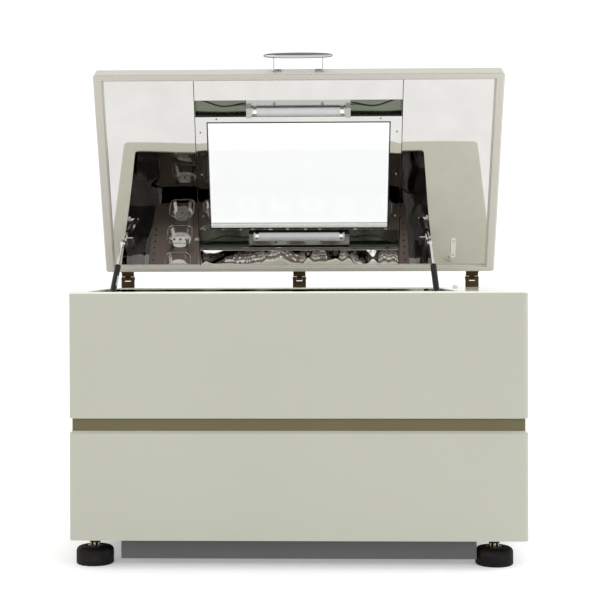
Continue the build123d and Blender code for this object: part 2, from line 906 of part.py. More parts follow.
with BuildPart() as clamp_springs:
    with BuildSketch(Plane.XY.offset(platform_top + spring_height - spring_wire)):
        with Locations(*clamp_spots):
            RectangleRounded(
                spring_size + 2 * spring_wire, spring_size + 2 * spring_wire, spring_corner
            )
            RectangleRounded(
                spring_size, spring_size, spring_corner - spring_wire, mode=Mode.SUBTRACT
            )
    extrude(amount=spring_wire)
finish(clamp_springs, "clamp_springs")

# ---------------------------------------------------------------- mains switch, gland, sensors

rocker_half = 9
rocker_half_height = 5.6
rocker_pin_radius = 1.2
rocker_pin_reach = 0.3
rocker_tilt = 10
rocker_pivot_x = half_width + bezel_thickness - 1
opening_half = rocker_half + 1.2

with BuildPart() as switch_bezel:
    y_outer = (
        switch_y - switch_length / 2 - bezel_border,
        switch_y + switch_length / 2 + bezel_border,
    )
    z_outer = (
        switch_z - switch_height / 2 - bezel_border,
        switch_z + switch_height / 2 + bezel_border,
    )
    block((half_width, half_width + bezel_thickness), y_outer, z_outer)
    block(
        (half_width - 24, half_width),
        (switch_y - switch_length / 2, switch_y + switch_length / 2),
        (switch_z - switch_height / 2, switch_z + switch_height / 2),
    )
    block(
        (half_width - 12, half_width + bezel_thickness + 1),
        (switch_y - opening_half, switch_y + opening_half),
        (switch_z - rocker_half_height - 0.4, switch_z + rocker_half_height + 0.4),
        mode=Mode.SUBTRACT,
    )
finish(switch_bezel, "switch_bezel")

rocker_frame = Plane(
    origin=(rocker_pivot_x, switch_y, switch_z - rocker_half_height),
    x_dir=(cos(radians(rocker_tilt)), -sin(radians(rocker_tilt)), 0),
    z_dir=(0, 0, 1),
)

with BuildPart() as mains_rocker:
    with BuildSketch(rocker_frame):
        with BuildLine():
            Polyline(
                (-6, -4),
                (4, -rocker_half),
                (2.5, 0),
                (4, rocker_half),
                (-6, 4),
                close=True,
            )
        make_face()
    extrude(amount=2 * rocker_half_height)
    with Locations((rocker_pivot_x, switch_y, switch_z)):
        Cylinder(rocker_pin_radius, 2 * (rocker_half_height + rocker_pin_reach))
finish(mains_rocker, "mains_rocker")

gland_frame = Plane(origin=(gland_x, rear_y, gland_z), x_dir=(1, 0, 0), z_dir=(0, 1, 0))

with BuildPart() as mains_gland:
    with BuildSketch(gland_frame):
        RegularPolygon(gland_radius, 6)
    extrude(amount=6)
    post(0, 0, (6, gland_reach), gland_radius - 3, frame=gland_frame)
    post(0, 0, (-14, 0), gland_radius - 2, frame=gland_frame)
    with BuildSketch(gland_frame.offset(-2 * sheet - 6)):
        RegularPolygon(gland_radius + 2, 6)
    extrude(amount=6 + sheet)
    fillet(mains_gland.edges().filter_by(GeomType.CIRCLE).group_by(Axis.Y)[-1], 2)
    post(0, 0, (-15, gland_reach + 1), gland_bore, frame=gland_frame, mode=Mode.SUBTRACT)
finish(mains_gland, "mains_gland")

sensor_x = half_width - 134
sensor_y = rear_y - 112
sensor_height = 7

with BuildPart() as reed_switch:
    block(
        (sensor_x - 7, sensor_x + 7),
        (sensor_y - 9, sensor_y + 9),
        (deck_z, deck_z + sensor_height),
    )
    fillet(reed_switch.edges().filter_by(Axis.Z), 2)
finish(reed_switch, "reed_switch")

supply_width = 200
supply_depth = 110
supply_height = 70

with BuildPart() as power_supply:
    supply_y = rear_y - pan_setback - supply_depth - 10
    block(
        (-supply_width / 2, supply_width / 2),
        (supply_y, supply_y + supply_depth),
        (pan_gap_to_floor + pan_sheet, pan_gap_to_floor + pan_sheet + supply_height),
    )
    fillet(power_supply.edges().filter_by(Axis.Z), 4)
finish(power_supply, "power_supply")

# ---------------------------------------------------------------- hinges

hinge_xs = (-hinge_spacing, 0, hinge_spacing)
centre_knuckle = 17
knuckle_gap = 0.4
leaf_drop = 40
upper_leaf_width = hinge_width - 3

with BuildPart() as hinge_lower_leaves:
    for hinge_x in hinge_xs:
        leaf_x = (hinge_x - hinge_width / 2, hinge_x + hinge_width / 2)
        block(leaf_x, (rear_y, rear_y + leaf_thickness), (deck_z - leaf_drop, pin_z - 8))
        for side in (-1, 1):
            near = hinge_x + side * (centre_knuckle / 2 + knuckle_gap)
            far = hinge_x + side * hinge_width / 2
            knuckle_x = (min(near, far), max(near, far))
            along_x(knuckle_x, pin_y, pin_z, knuckle_radius)
            block(knuckle_x, (rear_y, rear_y + leaf_thickness), (pin_z - 8, pin_z))
            along_x(knuckle_x, pin_y, pin_z, pin_radius, mode=Mode.SUBTRACT)
finish(hinge_lower_leaves, "hinge_lower_leaves")

with BuildPart() as hinge_pins:
    for hinge_x in hinge_xs:
        pin_x = (hinge_x - hinge_width / 2 - 1.5, hinge_x + hinge_width / 2 + 1.5)
        along_x(pin_x, pin_y, pin_z, pin_radius)
finish(hinge_pins, "hinge_pins")

with BuildPart() as hinge_upper_leaves:
    for hinge_x in hinge_xs:
        leaf_x = (hinge_x - upper_leaf_width / 2, hinge_x + upper_leaf_width / 2)
        knuckle_x = (hinge_x - centre_knuckle / 2, hinge_x + centre_knuckle / 2)
        block(
            leaf_x,
            (lid_back, lid_back + leaf_thickness),
            (rim_face + 3, lid_top - lid_edge_radius),
            frame=lid_frame,
        )
        web = (-leaf_thickness / 2, leaf_thickness / 2)
        block(leaf_x, (lid_back + leaf_thickness, -knuckle_radius - 2), web, frame=lid_frame)
        block(knuckle_x, (-knuckle_radius - 2, 0), web, frame=lid_frame)
        along_x(knuckle_x, 0, 0, knuckle_radius, frame=lid_frame)
        along_x(
            knuckle_x, 0, 0, pin_radius + running_clearance, frame=lid_frame, mode=Mode.SUBTRACT
        )
finish(hinge_upper_leaves, "hinge_upper_leaves")

# ---------------------------------------------------------------- lid casing

glass_x = window_width / 2
skin_under = lid_top - lid_sheet

with BuildPart() as lid_shell:
    with BuildSketch(lid_frame.offset(rim_face)):
        with Locations((0, lid_mid)):
            RectangleRounded(lid_width, lid_length, lid_corner_radius)
    extrude(amount=lid_height)
    outer_face = lid_shell.faces().sort_by(lambda face: lid_frame.to_local_coords(face.center()).Z)
    fillet(outer_face[-1].edges(), lid_edge_radius)
    with BuildPart(mode=Mode.PRIVATE) as lid_hollow:
        with BuildSketch(lid_frame.offset(rim_face - 1)):
            with Locations((0, lid_mid)):
                RectangleRounded(
                    lid_width - 2 * lid_sheet,
                    lid_length - 2 * lid_sheet,
                    lid_corner_radius - lid_sheet,
                )
        extrude(amount=lid_height - lid_sheet + 1)
        inner_face = lid_hollow.faces().sort_by(
            lambda face: lid_frame.to_local_coords(face.center()).Z
        )
        fillet(inner_face[-1].edges(), lid_edge_radius - lid_sheet)
    add(lid_hollow.part, mode=Mode.SUBTRACT)
    lid_ring((rim_face, rim_face + lid_sheet), 0, rim_width, rim_front_width, rim_rear_width)
    block(
        (-liner_half - lid_sheet, liner_half + lid_sheet),
        (liner_y[0] - lid_sheet, liner_y[1] + lid_sheet),
        (rim_face, liner_face),
        frame=lid_frame,
    )
    block(
        (-liner_half, liner_half),
        liner_y,
        (rim_face - 1, liner_face + 1),
        frame=lid_frame,
        mode=Mode.SUBTRACT,
    )
    block(
        (-glass_x, glass_x),
        window_y,
        (skin_under - 1, lid_top + 1),
        frame=lid_frame,
        mode=Mode.SUBTRACT,
    )
finish(lid_shell, "lid_shell")

with BuildPart() as lid_seal:
    margin = seal_inset + seal_step
    lid_ring(
        (seal_face, rim_face),
        seal_inset,
        rim_width - margin,
        rim_front_width - margin,
        rim_rear_width - margin,
    )
    seal_faces = lid_seal.faces().sort_by(lambda face: lid_frame.to_local_coords(face.center()).Z)
    fillet(seal_faces[0].edges(), 2.5)
finish(lid_seal, "lid_seal")

# ---------------------------------------------------------------- lid liner and window

liner_z = (liner_face, liner_face + liner_sheet)

with BuildPart() as lid_liner_panels:
    for side in (-1, 1):
        near = side * (trim_half + 2)
        far = side * liner_half
        block((min(near, far), max(near, far)), liner_y, liner_z, frame=lid_frame)
    block(
        (-trim_half, trim_half),
        (liner_y[0], liner_y[0] + strip_front_length),
        liner_z,
        frame=lid_frame,
    )
    block(
        (-trim_half, trim_half),
        (liner_y[1] - strip_rear_length, liner_y[1]),
        liner_z,
        frame=lid_frame,
    )
finish(lid_liner_panels, "lid_liner_panels")

tray_z = (liner_z[1], liner_z[1] + lamp_tray_depth)
tray_spans = (
    (liner_y[0] + strip_front_length - tray_lap, trim_y[0] + tray_lap),
    (trim_y[1] - 4, liner_y[1] - strip_rear_length + tray_lap),
)

with BuildPart() as lamp_trays:
    for tray_y in tray_spans:
        block((-trim_half, trim_half), tray_y, tray_z, frame=lid_frame)
        block(
            (-trim_half + liner_sheet, trim_half - liner_sheet),
            (tray_y[0] + liner_sheet, tray_y[1] - liner_sheet),
            (tray_z[0] - 1, tray_z[1] - liner_sheet),
            frame=lid_frame,
            mode=Mode.SUBTRACT,
        )
finish(lamp_trays, "lamp_trays")

tunnel_wall = 2
glass_z = (liner_z[1], liner_z[1] + glass_thickness)
outer_glass_z = (skin_under - glass_thickness, skin_under)
tunnel_x = glass_x + tunnel_wall
tunnel_y = (window_y[0] - tunnel_wall, window_y[1] + tunnel_wall)
glass_gap = 0.5
trim_lip = 0.6

with BuildPart() as window_trim:
    block((-trim_half, trim_half), trim_y, liner_z, frame=lid_frame)
    block(
        (-glass_x + trim_lip, glass_x - trim_lip),
        (window_y[0] + trim_lip, window_y[1] - trim_lip),
        (liner_z[0] - 1, liner_z[1] + 1),
        frame=lid_frame,
        mode=Mode.SUBTRACT,
    )
    block((-tunnel_x, tunnel_x), tunnel_y, (liner_z[1], skin_under), frame=lid_frame)
    block(
        (-glass_x, glass_x),
        window_y,
        (liner_z[1], skin_under + 1),
        frame=lid_frame,
        mode=Mode.SUBTRACT,
    )
    block(
        (-glass_x + trim_lip, glass_x - trim_lip),
        (window_y[0] + trim_lip, window_y[1] - trim_lip),
        (liner_z[0] - 1, liner_z[1] + 1),
        frame=lid_frame,
        mode=Mode.SUBTRACT,
    )
finish(window_trim, "window_trim")

with BuildPart() as window_glass:
    for pane_z in (glass_z, outer_glass_z):
        block(
            (-glass_x + glass_gap, glass_x - glass_gap),
            (window_y[0] + glass_gap, window_y[1] - glass_gap),
            pane_z,
            frame=lid_frame,
        )
finish(window_glass, "window_glass")

# ---------------------------------------------------------------- lamps

lamp_length = 303
lamp_body_width = 26
lamp_body_height = 17
lamp_setback = 5
tube_radius = 13
tube_offset = 37.5
tube_height = 29
holder_length = 14
holder_width = 26
holder_height = 43
holder_lap = 4
lamp_floor = tray_z[1] - liner_sheet

# each lamp: its edge on the tray's far side from the window, and the direction to the window
lamp_rows = (
    (tray_spans[0][0] + liner_sheet + lamp_setback, 1),
    (tray_spans[1][1] - liner_sheet - lamp_setback, -1),
)

with BuildPart() as lamp_housings:
    for far_y, towards in lamp_rows:
        body_end = far_y + towards * lamp_body_width
        holder_y = (body_end - towards * holder_lap, body_end + towards * holder_width)
        block(
            (-lamp_length / 2, lamp_length / 2),
            (min(far_y, body_end), max(far_y, body_end)),
            (lamp_floor - lamp_body_height, lamp_floor),
            frame=lid_frame,
        )
        for side in (-1, 1):
            near = side * (lamp_length / 2 - holder_length)
            far = side * lamp_length / 2
            block(
                (min(near, far), max(near, far)),
                (min(holder_y), max(holder_y)),
                (lamp_floor - holder_height, lamp_floor),
                frame=lid_frame,
            )
finish(lamp_housings, "lamp_housings")

with BuildPart() as lamp_tubes:
    for far_y, towards in lamp_rows:
        along_x(
            (-lamp_length / 2 + holder_length, lamp_length / 2 - holder_length),
            far_y + towards * tube_offset,
            lamp_floor - tube_height,
            tube_radius,
            frame=lid_frame,
        )
finish(lamp_tubes, "lamp_tubes")

# ---------------------------------------------------------------- handle

handle_post_spacing = 141
handle_reach = 50
grip_length = 201
grip_width = 30
grip_thickness = 9
post_width = 16
post_thickness = 4
post_foot = 22
handle_height = rim_face + lid_height / 2

handle_frame = Plane(
    origin=lid_frame.from_local_coords(Vector(0, lid_front, handle_height)),
    x_dir=(1, 0, 0),
    z_dir=-lid_frame.y_dir,
)

with BuildPart() as handle_posts:
    for side in (-1, 1):
        post_x = side * handle_post_spacing / 2
        foot_end = post_x - side * post_foot
        block(
            (post_x - post_thickness / 2, post_x + post_thickness / 2),
            (-post_width / 2, post_width / 2),
            (0, handle_reach - grip_thickness),
            frame=handle_frame,
        )
        block(
            (min(post_x, foot_end), max(post_x, foot_end)),
            (-post_width / 2, post_width / 2),
            (0, post_thickness),
            frame=handle_frame,
        )
finish(handle_posts, "handle_posts")

with BuildPart() as handle_grip:
    with BuildSketch(handle_frame.offset(handle_reach - grip_thickness)):
        SlotOverall(grip_length, grip_width)
    extrude(amount=grip_thickness)
    fillet(handle_grip.faces().sort_by(Axis.Z)[-1].edges(), grip_thickness / 2.5)
finish(handle_grip, "handle_grip")

# ---------------------------------------------------------------- control panel on the lid

panel_width = 150
panel_length = 220
panel_thickness = 5
panel_x = half_width - 200

with BuildPart() as control_panel:
    panel_y = (lid_mid - panel_length / 2, lid_mid + panel_length / 2)
    block(
        (panel_x - panel_width / 2, panel_x + panel_width / 2),
        panel_y,
        (lid_top, lid_top + panel_thickness),
        frame=lid_frame,
    )
    top_face = control_panel.faces().sort_by(
        lambda face: lid_frame.to_local_coords(face.center()).Z
    )
    fillet(top_face[-1].edges(), 2)
finish(control_panel, "control_panel")

magnet_width = 14
magnet_length = 60
magnet_from_back = 46
magnet_height = 7

with BuildPart() as magnet_bar:
    magnet_y = (lid_back - magnet_from_back - magnet_length, lid_back - magnet_from_back)
    block(
        (sensor_x - magnet_width / 2, sensor_x + magnet_width / 2),
        magnet_y,
        (liner_face - magnet_height, liner_face),
        frame=lid_frame,
    )
finish(magnet_bar, "magnet_bar")

# ---------------------------------------------------------------- gas struts

strut_xs = {
    "left": chamber_x[0] + strut_wall_offset,
    "right": chamber_x[1] - strut_wall_offset,
}
strut_walls = {"left": (chamber_x[0], 1), "right": (chamber_x[1], -1)}
strut_foot = (front_y + strut_foot_from_front, deck_z - strut_foot_below_deck)
ball_spot = lid_frame.from_local_coords(Vector(0, -ball_from_pin, -ball_below_pin))
strut_run = (ball_spot.Y - strut_foot[0], ball_spot.Z - strut_foot[1])
strut_span = hypot(*strut_run)
strut_slope = atan2(strut_run[1], strut_run[0])
strut_lean = (0, cos(strut_slope), sin(strut_slope))
eye_half = 4
eye_gap = 0.6
neck_radius = eye_half - 0.4


def strut_frame(x):
    """A frame on the lower pivot whose z runs up the strut."""
    return Plane(origin=(x, *strut_foot), x_dir=(1, 0, 0), z_dir=strut_lean)


for side_name, strut_x in strut_xs.items():
    frame = strut_frame(strut_x)
    with BuildPart() as strut_cylinder:
        along_x((-eye_half, eye_half), 0, 0, strut_eye_radius, frame=frame)
        post(0, 0, (2, 20), neck_radius, frame=frame)
        post(0, 0, (18, strut_tube_length), strut_tube_radius, frame=frame)
        post(0, 0, (22, strut_tube_length - 6), strut_tube_bore, frame=frame, mode=Mode.SUBTRACT)
        post(
            0,
            0,
            (strut_tube_length - 7, strut_tube_length + 1),
            strut_rod_radius + running_clearance,
            frame=frame,
            mode=Mode.SUBTRACT,
        )
        along_x(
            (-eye_half - 1, eye_half + 1),
            0,
            0,
            strut_stud_radius + running_clearance,
            frame=frame,
            mode=Mode.SUBTRACT,
        )
    finish(strut_cylinder, f"strut_cylinder_{side_name}")

    piston_z = strut_tube_length - 6 - strut_piston_length - 2
    with BuildPart() as strut_rod:
        piston_radius = strut_tube_bore - 2 * running_clearance
        post(0, 0, (piston_z, piston_z + strut_piston_length), piston_radius, frame=frame)
        rod_end = strut_span - strut_eye_radius + 2
        post(0, 0, (piston_z + 2, rod_end), strut_rod_radius, frame=frame)
        collar_z = strut_span - strut_eye_radius - 9
        post(0, 0, (collar_z, strut_span - 4), strut_rod_radius + 1.5, frame=frame)
        along_x((-eye_half, eye_half), 0, strut_span, strut_eye_radius, frame=frame)
    finish(strut_rod, f"strut_rod_{side_name}")

with BuildPart() as strut_wall_studs:
    for side_name, strut_x in strut_xs.items():
        wall_x, inward = strut_walls[side_name]
        frame = strut_frame(0)
        base_end = wall_x + inward * 4
        stud_end = strut_x + inward * (eye_half + 2)
        along_x((min(wall_x, base_end), max(wall_x, base_end)), 0, 0, 14, frame=frame)
        collar_end = strut_x - inward * (eye_half + eye_gap)
        along_x(
            (min(base_end, collar_end), max(base_end, collar_end)), 0, 0, 7, frame=frame
        )
        along_x(
            (min(collar_end, stud_end), max(collar_end, stud_end)),
            0,
            0,
            strut_stud_radius,
            frame=frame,
        )
        head_start = strut_x + inward * (eye_half + eye_gap)
        along_x(
            (min(head_start, stud_end + inward * 2), max(head_start, stud_end + inward * 2)),
            0,
            0,
            6,
            frame=frame,
        )
finish(strut_wall_studs, "strut_wall_studs")

bracket_sheet = 3
bracket_width = 26
bracket_tab = 22
bracket_side_gap = 6
bracket_drop = 8

with BuildPart() as strut_lid_brackets:
    for side_name, strut_x in strut_xs.items():
        inward = strut_walls[side_name][1]
        plate_start = strut_x + inward * (eye_half + bracket_side_gap)
        plate_end = plate_start + inward * bracket_sheet
        tab_end = plate_start + inward * bracket_tab
        bracket_y = (-ball_from_pin - bracket_width / 2, -ball_from_pin + bracket_width / 2)
        block(
            (min(plate_start, plate_end), max(plate_start, plate_end)),
            bracket_y,
            (-ball_below_pin - bracket_drop, liner_face),
            frame=lid_frame,
        )
        block(
            (min(plate_start, tab_end), max(plate_start, tab_end)),
            bracket_y,
            (liner_face - bracket_sheet, liner_face),
            frame=lid_frame,
        )
        stud_start = strut_x + inward * (eye_half + eye_gap)
        along_x(
            (min(stud_start, plate_start), max(stud_start, plate_start)),
            -ball_from_pin,
            -ball_below_pin,
            strut_stud_radius,
            frame=lid_frame,
        )
finish(strut_lid_brackets, "strut_lid_brackets")
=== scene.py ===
"""Finishes and fine fittings of a chest-type orbital shaker incubator, laid out as a Blender add-on.

Run as a script: it loads the fixed frame of the shaker, adds the pieces around it in metres, and
gives every surface its finish.  Lid pieces are modelled in the lid's own frame and then set in place.
"""
import json
from math import cos, pi, radians, sin

import bpy
from bpy.props import FloatProperty, FloatVectorProperty, IntProperty, PointerProperty
from mathutils import Matrix, Vector


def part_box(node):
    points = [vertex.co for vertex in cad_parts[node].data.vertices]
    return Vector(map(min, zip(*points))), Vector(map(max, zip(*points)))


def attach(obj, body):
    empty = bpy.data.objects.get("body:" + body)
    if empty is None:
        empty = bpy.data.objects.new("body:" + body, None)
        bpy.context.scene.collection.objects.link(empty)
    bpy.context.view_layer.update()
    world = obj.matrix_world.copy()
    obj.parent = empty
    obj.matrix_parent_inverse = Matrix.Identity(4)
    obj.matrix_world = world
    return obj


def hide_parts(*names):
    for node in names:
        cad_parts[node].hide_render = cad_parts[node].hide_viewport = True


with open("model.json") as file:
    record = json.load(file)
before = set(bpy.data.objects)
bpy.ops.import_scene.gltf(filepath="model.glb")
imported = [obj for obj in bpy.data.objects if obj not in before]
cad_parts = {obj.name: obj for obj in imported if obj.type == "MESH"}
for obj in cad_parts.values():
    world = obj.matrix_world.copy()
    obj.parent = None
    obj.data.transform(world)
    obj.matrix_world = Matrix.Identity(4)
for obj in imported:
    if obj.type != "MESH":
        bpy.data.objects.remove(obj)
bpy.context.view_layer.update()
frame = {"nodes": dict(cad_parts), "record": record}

bl_info = {
    "name": "Orbital Shaker Looks",
    "version": (1, 0, 0),
    "blender": (4, 5, 0),
    "location": "3D View > Sidebar > Shaker",
    "description": "Builds the fittings and finishes of an orbital shaker incubator",
    "category": "Object",
}

MM = 0.001

# Shares of the panel paint's or the polished steel's colour that other finishes take: painted light that
# makes the lid, the deck and the hinge strip lighter, painted shade that darkens the chamber liner, and a
# cap on the lightened colours.
LID_PAINTED_LIGHT = 1.25
DECK_PAINTED_LIGHT = 1.8
STRIP_PAINTED_LIGHT = 1.3
CHAMBER_SHADE = 0.45
BRIGHTEST = 0.9

# ------------------------------------------------------------------ places on the shaker

LID_TILT = radians(66)
LID_FRAME = Matrix((
    (1, 0, 0, 0),
    (0, cos(LID_TILT), sin(LID_TILT), 0.3189),
    (0, -sin(LID_TILT), cos(LID_TILT), 0.753),
    (0, 0, 0, 1),
))
LID_LENGTH = 656.4
LINER_FACE = -12.6
LAMP_FLOOR = 15.4
WINDOW_X = 266
WINDOW_Y = (-506, -175)
TRIM_X = 302
TRIM_Y = (-524.5, -168)
LAMP_ROWS = ((-576.9, 1), (-108, -1))
LAMP_AXIS = 37.5
LAMP_DROP = 29
STRIP_Y = (-101, -53)

PLATFORM_MIDDLE = (-70.5, -13.0)
PLATFORM_TOP = 517.0
CLAMP_COLUMNS = 7
CLAMP_ROWS = 4
CLAMP_PITCH = (112.0, 125.0)
SPRING_HEIGHT = 28.4
CLAMP_FLOOR = 1.5

STRUT_X = {"left": -537.0, "right": 396.0}
STRUT_STUD = (-18.0, 677.5)
STRUT_BALL = (-130.2, -28)
SWITCH_X = 466
SCREW_SINK = 1.6
FOOT_PLACES = {
    "foot_fl": (-544, -257.5),
    "foot_fr": (520, -257.5),
    "foot_rl": (-544, 232.5),
    "foot_rr": (520, 232.5),
}


def clamp_places():
    """Middle of every flask clamp on the platform, in millimetres."""
    return [
        (
            PLATFORM_MIDDLE[0] + (column - (CLAMP_COLUMNS - 1) / 2) * CLAMP_PITCH[0],
            PLATFORM_MIDDLE[1] + (row - (CLAMP_ROWS - 1) / 2) * CLAMP_PITCH[1],
        )
        for row in range(CLAMP_ROWS)
        for column in range(CLAMP_COLUMNS)
    ]


def at(x, y, z, turn=None):
    """Placement in the shaker's frame: millimetres, with an optional turn."""
    place = Matrix.Translation(Vector((x, y, z)) * MM)
    return place @ turn if turn else place


def on_lid(x, y, z, turn=None):
    """Placement in the lid's frame: millimetres from the hinge line, with an optional turn."""
    return LID_FRAME @ at(x, y, z, turn)


FACE_DOWN = Matrix.Rotation(pi, 4, "X")
FACE_FRONT = Matrix.Rotation(pi / 2, 4, "X")
FACE_BACK = Matrix.Rotation(-pi / 2, 4, "X")
FACE_RIGHT = Matrix.Rotation(pi / 2, 4, "Y")
FACE_LEFT = Matrix.Rotation(-pi / 2, 4, "Y")


# ------------------------------------------------------------------ settings

class ShakerFinish(bpy.types.PropertyGroup):
    """Colours of the main finishes, as linear values."""

    panel: FloatVectorProperty(
        name="Panel paint", description="Powder coat of the cabinet and the lid",
        subtype="COLOR", size=3, min=0, max=1, default=(0.435, 0.441, 0.374))
    # Waist: the groove strip's own dark paint, darkened further with painted shade for the shade in the
    # groove.
    waist: FloatVectorProperty(
        name="Waist paint", description="Paint in the groove between the two tiers",
        subtype="COLOR", size=3, min=0, max=1, default=(0.124, 0.109, 0.050))
    # Frame: dark grey matched to the band under the cabinet; on the base pan it is painted shade standing in
    # for the floor shadow there, on the drive stand it is the paint's own colour.
    frame: FloatVectorProperty(
        name="Frame paint", description="Paint of the base pan and the drive stand",
        subtype="COLOR", size=3, min=0, max=1, default=(0.115, 0.115, 0.115))
    mirror: FloatVectorProperty(
        name="Polished steel", description="Mirror-polished liner sheet",
        subtype="COLOR", size=3, min=0, max=1, default=(0.63, 0.62, 0.60))
    platform: FloatVectorProperty(
        name="Platform steel", description="Satin sheet of the shaking platform",
        subtype="COLOR", size=3, min=0, max=1, default=(0.20, 0.165, 0.14))
    seal: FloatVectorProperty(
        name="Seal", description="Rounded rubber seal under the lid's rim",
        subtype="COLOR", size=3, min=0, max=1, default=(0.50, 0.475, 0.425))
    hinge: FloatVectorProperty(
        name="Hinge bronze", description="Dark bronze plating of the hinges",
        subtype="COLOR", size=3, min=0, max=1, default=(0.062, 0.041, 0.020))


class ShakerFittings(bpy.types.PropertyGroup):
    """Sizes of the small fittings."""

    screw_radius: FloatProperty(
        name="Screw head radius", description="Radius of the liner's pan-head screws",
        subtype="DISTANCE", unit="LENGTH", min=0.001, default=0.0029)
    gasket_width: FloatProperty(
        name="Gasket width", description="Width of the black gasket round the window",
        subtype="DISTANCE", unit="LENGTH", min=0.001, default=0.003)
    spring_size: FloatProperty(
        name="Spring ring size", description="Side of the square spring ring in a flask clamp",
        subtype="DISTANCE", unit="LENGTH", min=0.02, default=0.083)
    spring_turns: IntProperty(
        name="Spring turns", description="Turns of wire round one spring ring",
        min=12, default=58)
    key_pitch: FloatProperty(
        name="Key pitch", description="Distance between the keys of the control panel",
        subtype="DISTANCE", unit="LENGTH", min=0.01, default=0.034)


class ShakerStudio(bpy.types.PropertyGroup):
    """Camera, floor and light."""

    camera_place: FloatVectorProperty(
        name="Camera place", description="Where the camera stands",
        subtype="TRANSLATION", unit="LENGTH", size=3, default=(0.0324, -3.9381, 0.7999))
    camera_turn: FloatVectorProperty(
        name="Camera turn", description="Tilt, roll and heading of the camera",
        subtype="EULER", unit="ROTATION", size=3, default=(pi / 2 - 0.0074, 0.0028, 0.027))
    focal_length: FloatProperty(
        name="Focal length", description="Focal length of the lens in millimetres",
        min=10, default=82.9)
    frame_shift: FloatVectorProperty(
        name="Frame shift", description="Sideways and upward shift of the picture frame",
        size=2, default=(0.0457, -0.044))
    sky_strength: FloatProperty(
        name="Surround", description="Brightness of the white surround", min=0, default=1.1)
    key_power: FloatProperty(
        name="Key light", description="Power of the large front light",
        unit="POWER", min=0, default=22.0)
    deck_power: FloatProperty(
        name="Deck light", description="Power of the low light over the right end of the deck",
        unit="POWER", min=0, default=7.0)
    fill_power: FloatProperty(
        name="Fill light", description="Power of the side light",
        unit="POWER", min=0, default=12.0)


# ------------------------------------------------------------------ modelling helpers

def deselect_all():
    """Leaves edit mode and deselects every object."""
    if bpy.context.mode != "OBJECT":
        bpy.ops.object.mode_set(mode="OBJECT")
    bpy.ops.object.select_all(action="DESELECT")


def take(obj):
    """Makes an object the only one selected."""
    deselect_all()
    obj.select_set(True)
    bpy.context.view_layer.objects.active = obj


def edit_all():
    """Enters edit mode with every face selected."""
    bpy.ops.object.mode_set(mode="EDIT")
    bpy.ops.mesh.select_mode(type="FACE")
    bpy.ops.mesh.select_all(action="SELECT")


def edit_faces(obj, chosen):
    """Enters edit mode with only the faces that the test accepts selected."""
    take(obj)
    edit_all()
    bpy.ops.mesh.select_all(action="DESELECT")
    bpy.ops.object.mode_set(mode="OBJECT")
    for face in obj.data.polygons:
        face.select = chosen(face)
    bpy.ops.object.mode_set(mode="EDIT")


def leave_edit(recalculate=True):
    """Leaves edit mode, with outward normals on a closed shape."""
    if recalculate:
        bpy.ops.mesh.select_all(action="SELECT")
        bpy.ops.mesh.normals_make_consistent(inside=False)
    bpy.ops.object.mode_set(mode="OBJECT")


def finish_modifier(obj, kind, **values):
    """Adds a modifier and applies it."""
    take(obj)
    modifier = obj.modifiers.new(kind.title(), kind)
    for key, value in values.items():
        setattr(modifier, key, value)
    bpy.ops.object.modifier_apply(modifier=modifier.name)


def smooth(obj, degrees):
    """Smooths the faces that meet at less than an angle."""
    take(obj)
    bpy.ops.object.shade_smooth_by_angle(angle=radians(degrees))


def round_edges(obj, width, segments=2, angle=40):
    """Rounds the sharp edges of a shape and smooths its faces."""
    finish_modifier(
        obj, "BEVEL", width=width, segments=segments, limit_method="ANGLE", angle_limit=radians(angle))
    smooth(obj, 35)


def settle(obj, place=None):
    """Applies an object's placement, then moves its mesh to a place in the shaker's frame."""
    take(obj)
    bpy.ops.object.transform_apply(location=True, rotation=True, scale=True)
    if place is not None:
        obj.data.transform(place)
        obj.data.update()
    return obj


def turned(rings, sides=24):
    """Lathe shape along +Z from (radius, height) rings in metres."""
    deselect_all()
    radius, height = rings[0]
    bpy.ops.mesh.primitive_circle_add(
        vertices=sides, radius=radius, fill_type="NGON", location=(0, 0, height))
    obj = bpy.context.object
    edit_all()
    for next_radius, next_height in rings[1:]:
        bpy.ops.mesh.extrude_region_move(
            TRANSFORM_OT_translate={"value": (0, 0, next_height - height)})
        ratio = next_radius / radius
        if ratio != 1:
            bpy.ops.transform.resize(value=(ratio, ratio, 1), center_override=(0, 0, next_height))
        radius, height = next_radius, next_height
    leave_edit()
    return settle(obj)


def slab(low, high, rounding=0.0, segments=2):
    """Block between two corners in metres, with rounded edges."""
    deselect_all()
    low, high = Vector(low), Vector(high)
    bpy.ops.mesh.primitive_cube_add(size=1, location=(low + high) / 2)
    obj = bpy.context.object
    obj.scale = high - low
    settle(obj)
    if rounding:
        round_edges(obj, rounding, segments)
    return obj


def window_ring(low, high, width, bottom, top, rounding):
    """Rectangular ring lying flat between two corners, in metres."""
    deselect_all()
    middle = ((low[0] + high[0]) / 2, (low[1] + high[1]) / 2, bottom)
    bpy.ops.mesh.primitive_plane_add(size=1, location=middle)
    obj = bpy.context.object
    obj.scale = (high[0] - low[0], high[1] - low[1], 1)
    settle(obj)
    edit_all()
    bpy.ops.mesh.inset(thickness=width)
    bpy.ops.mesh.delete(type="FACE")
    bpy.ops.mesh.select_all(action="SELECT")
    bpy.ops.mesh.extrude_region_move(TRANSFORM_OT_translate={"value": (0, 0, top - bottom)})
    leave_edit()
    round_edges(obj, rounding)
    return obj


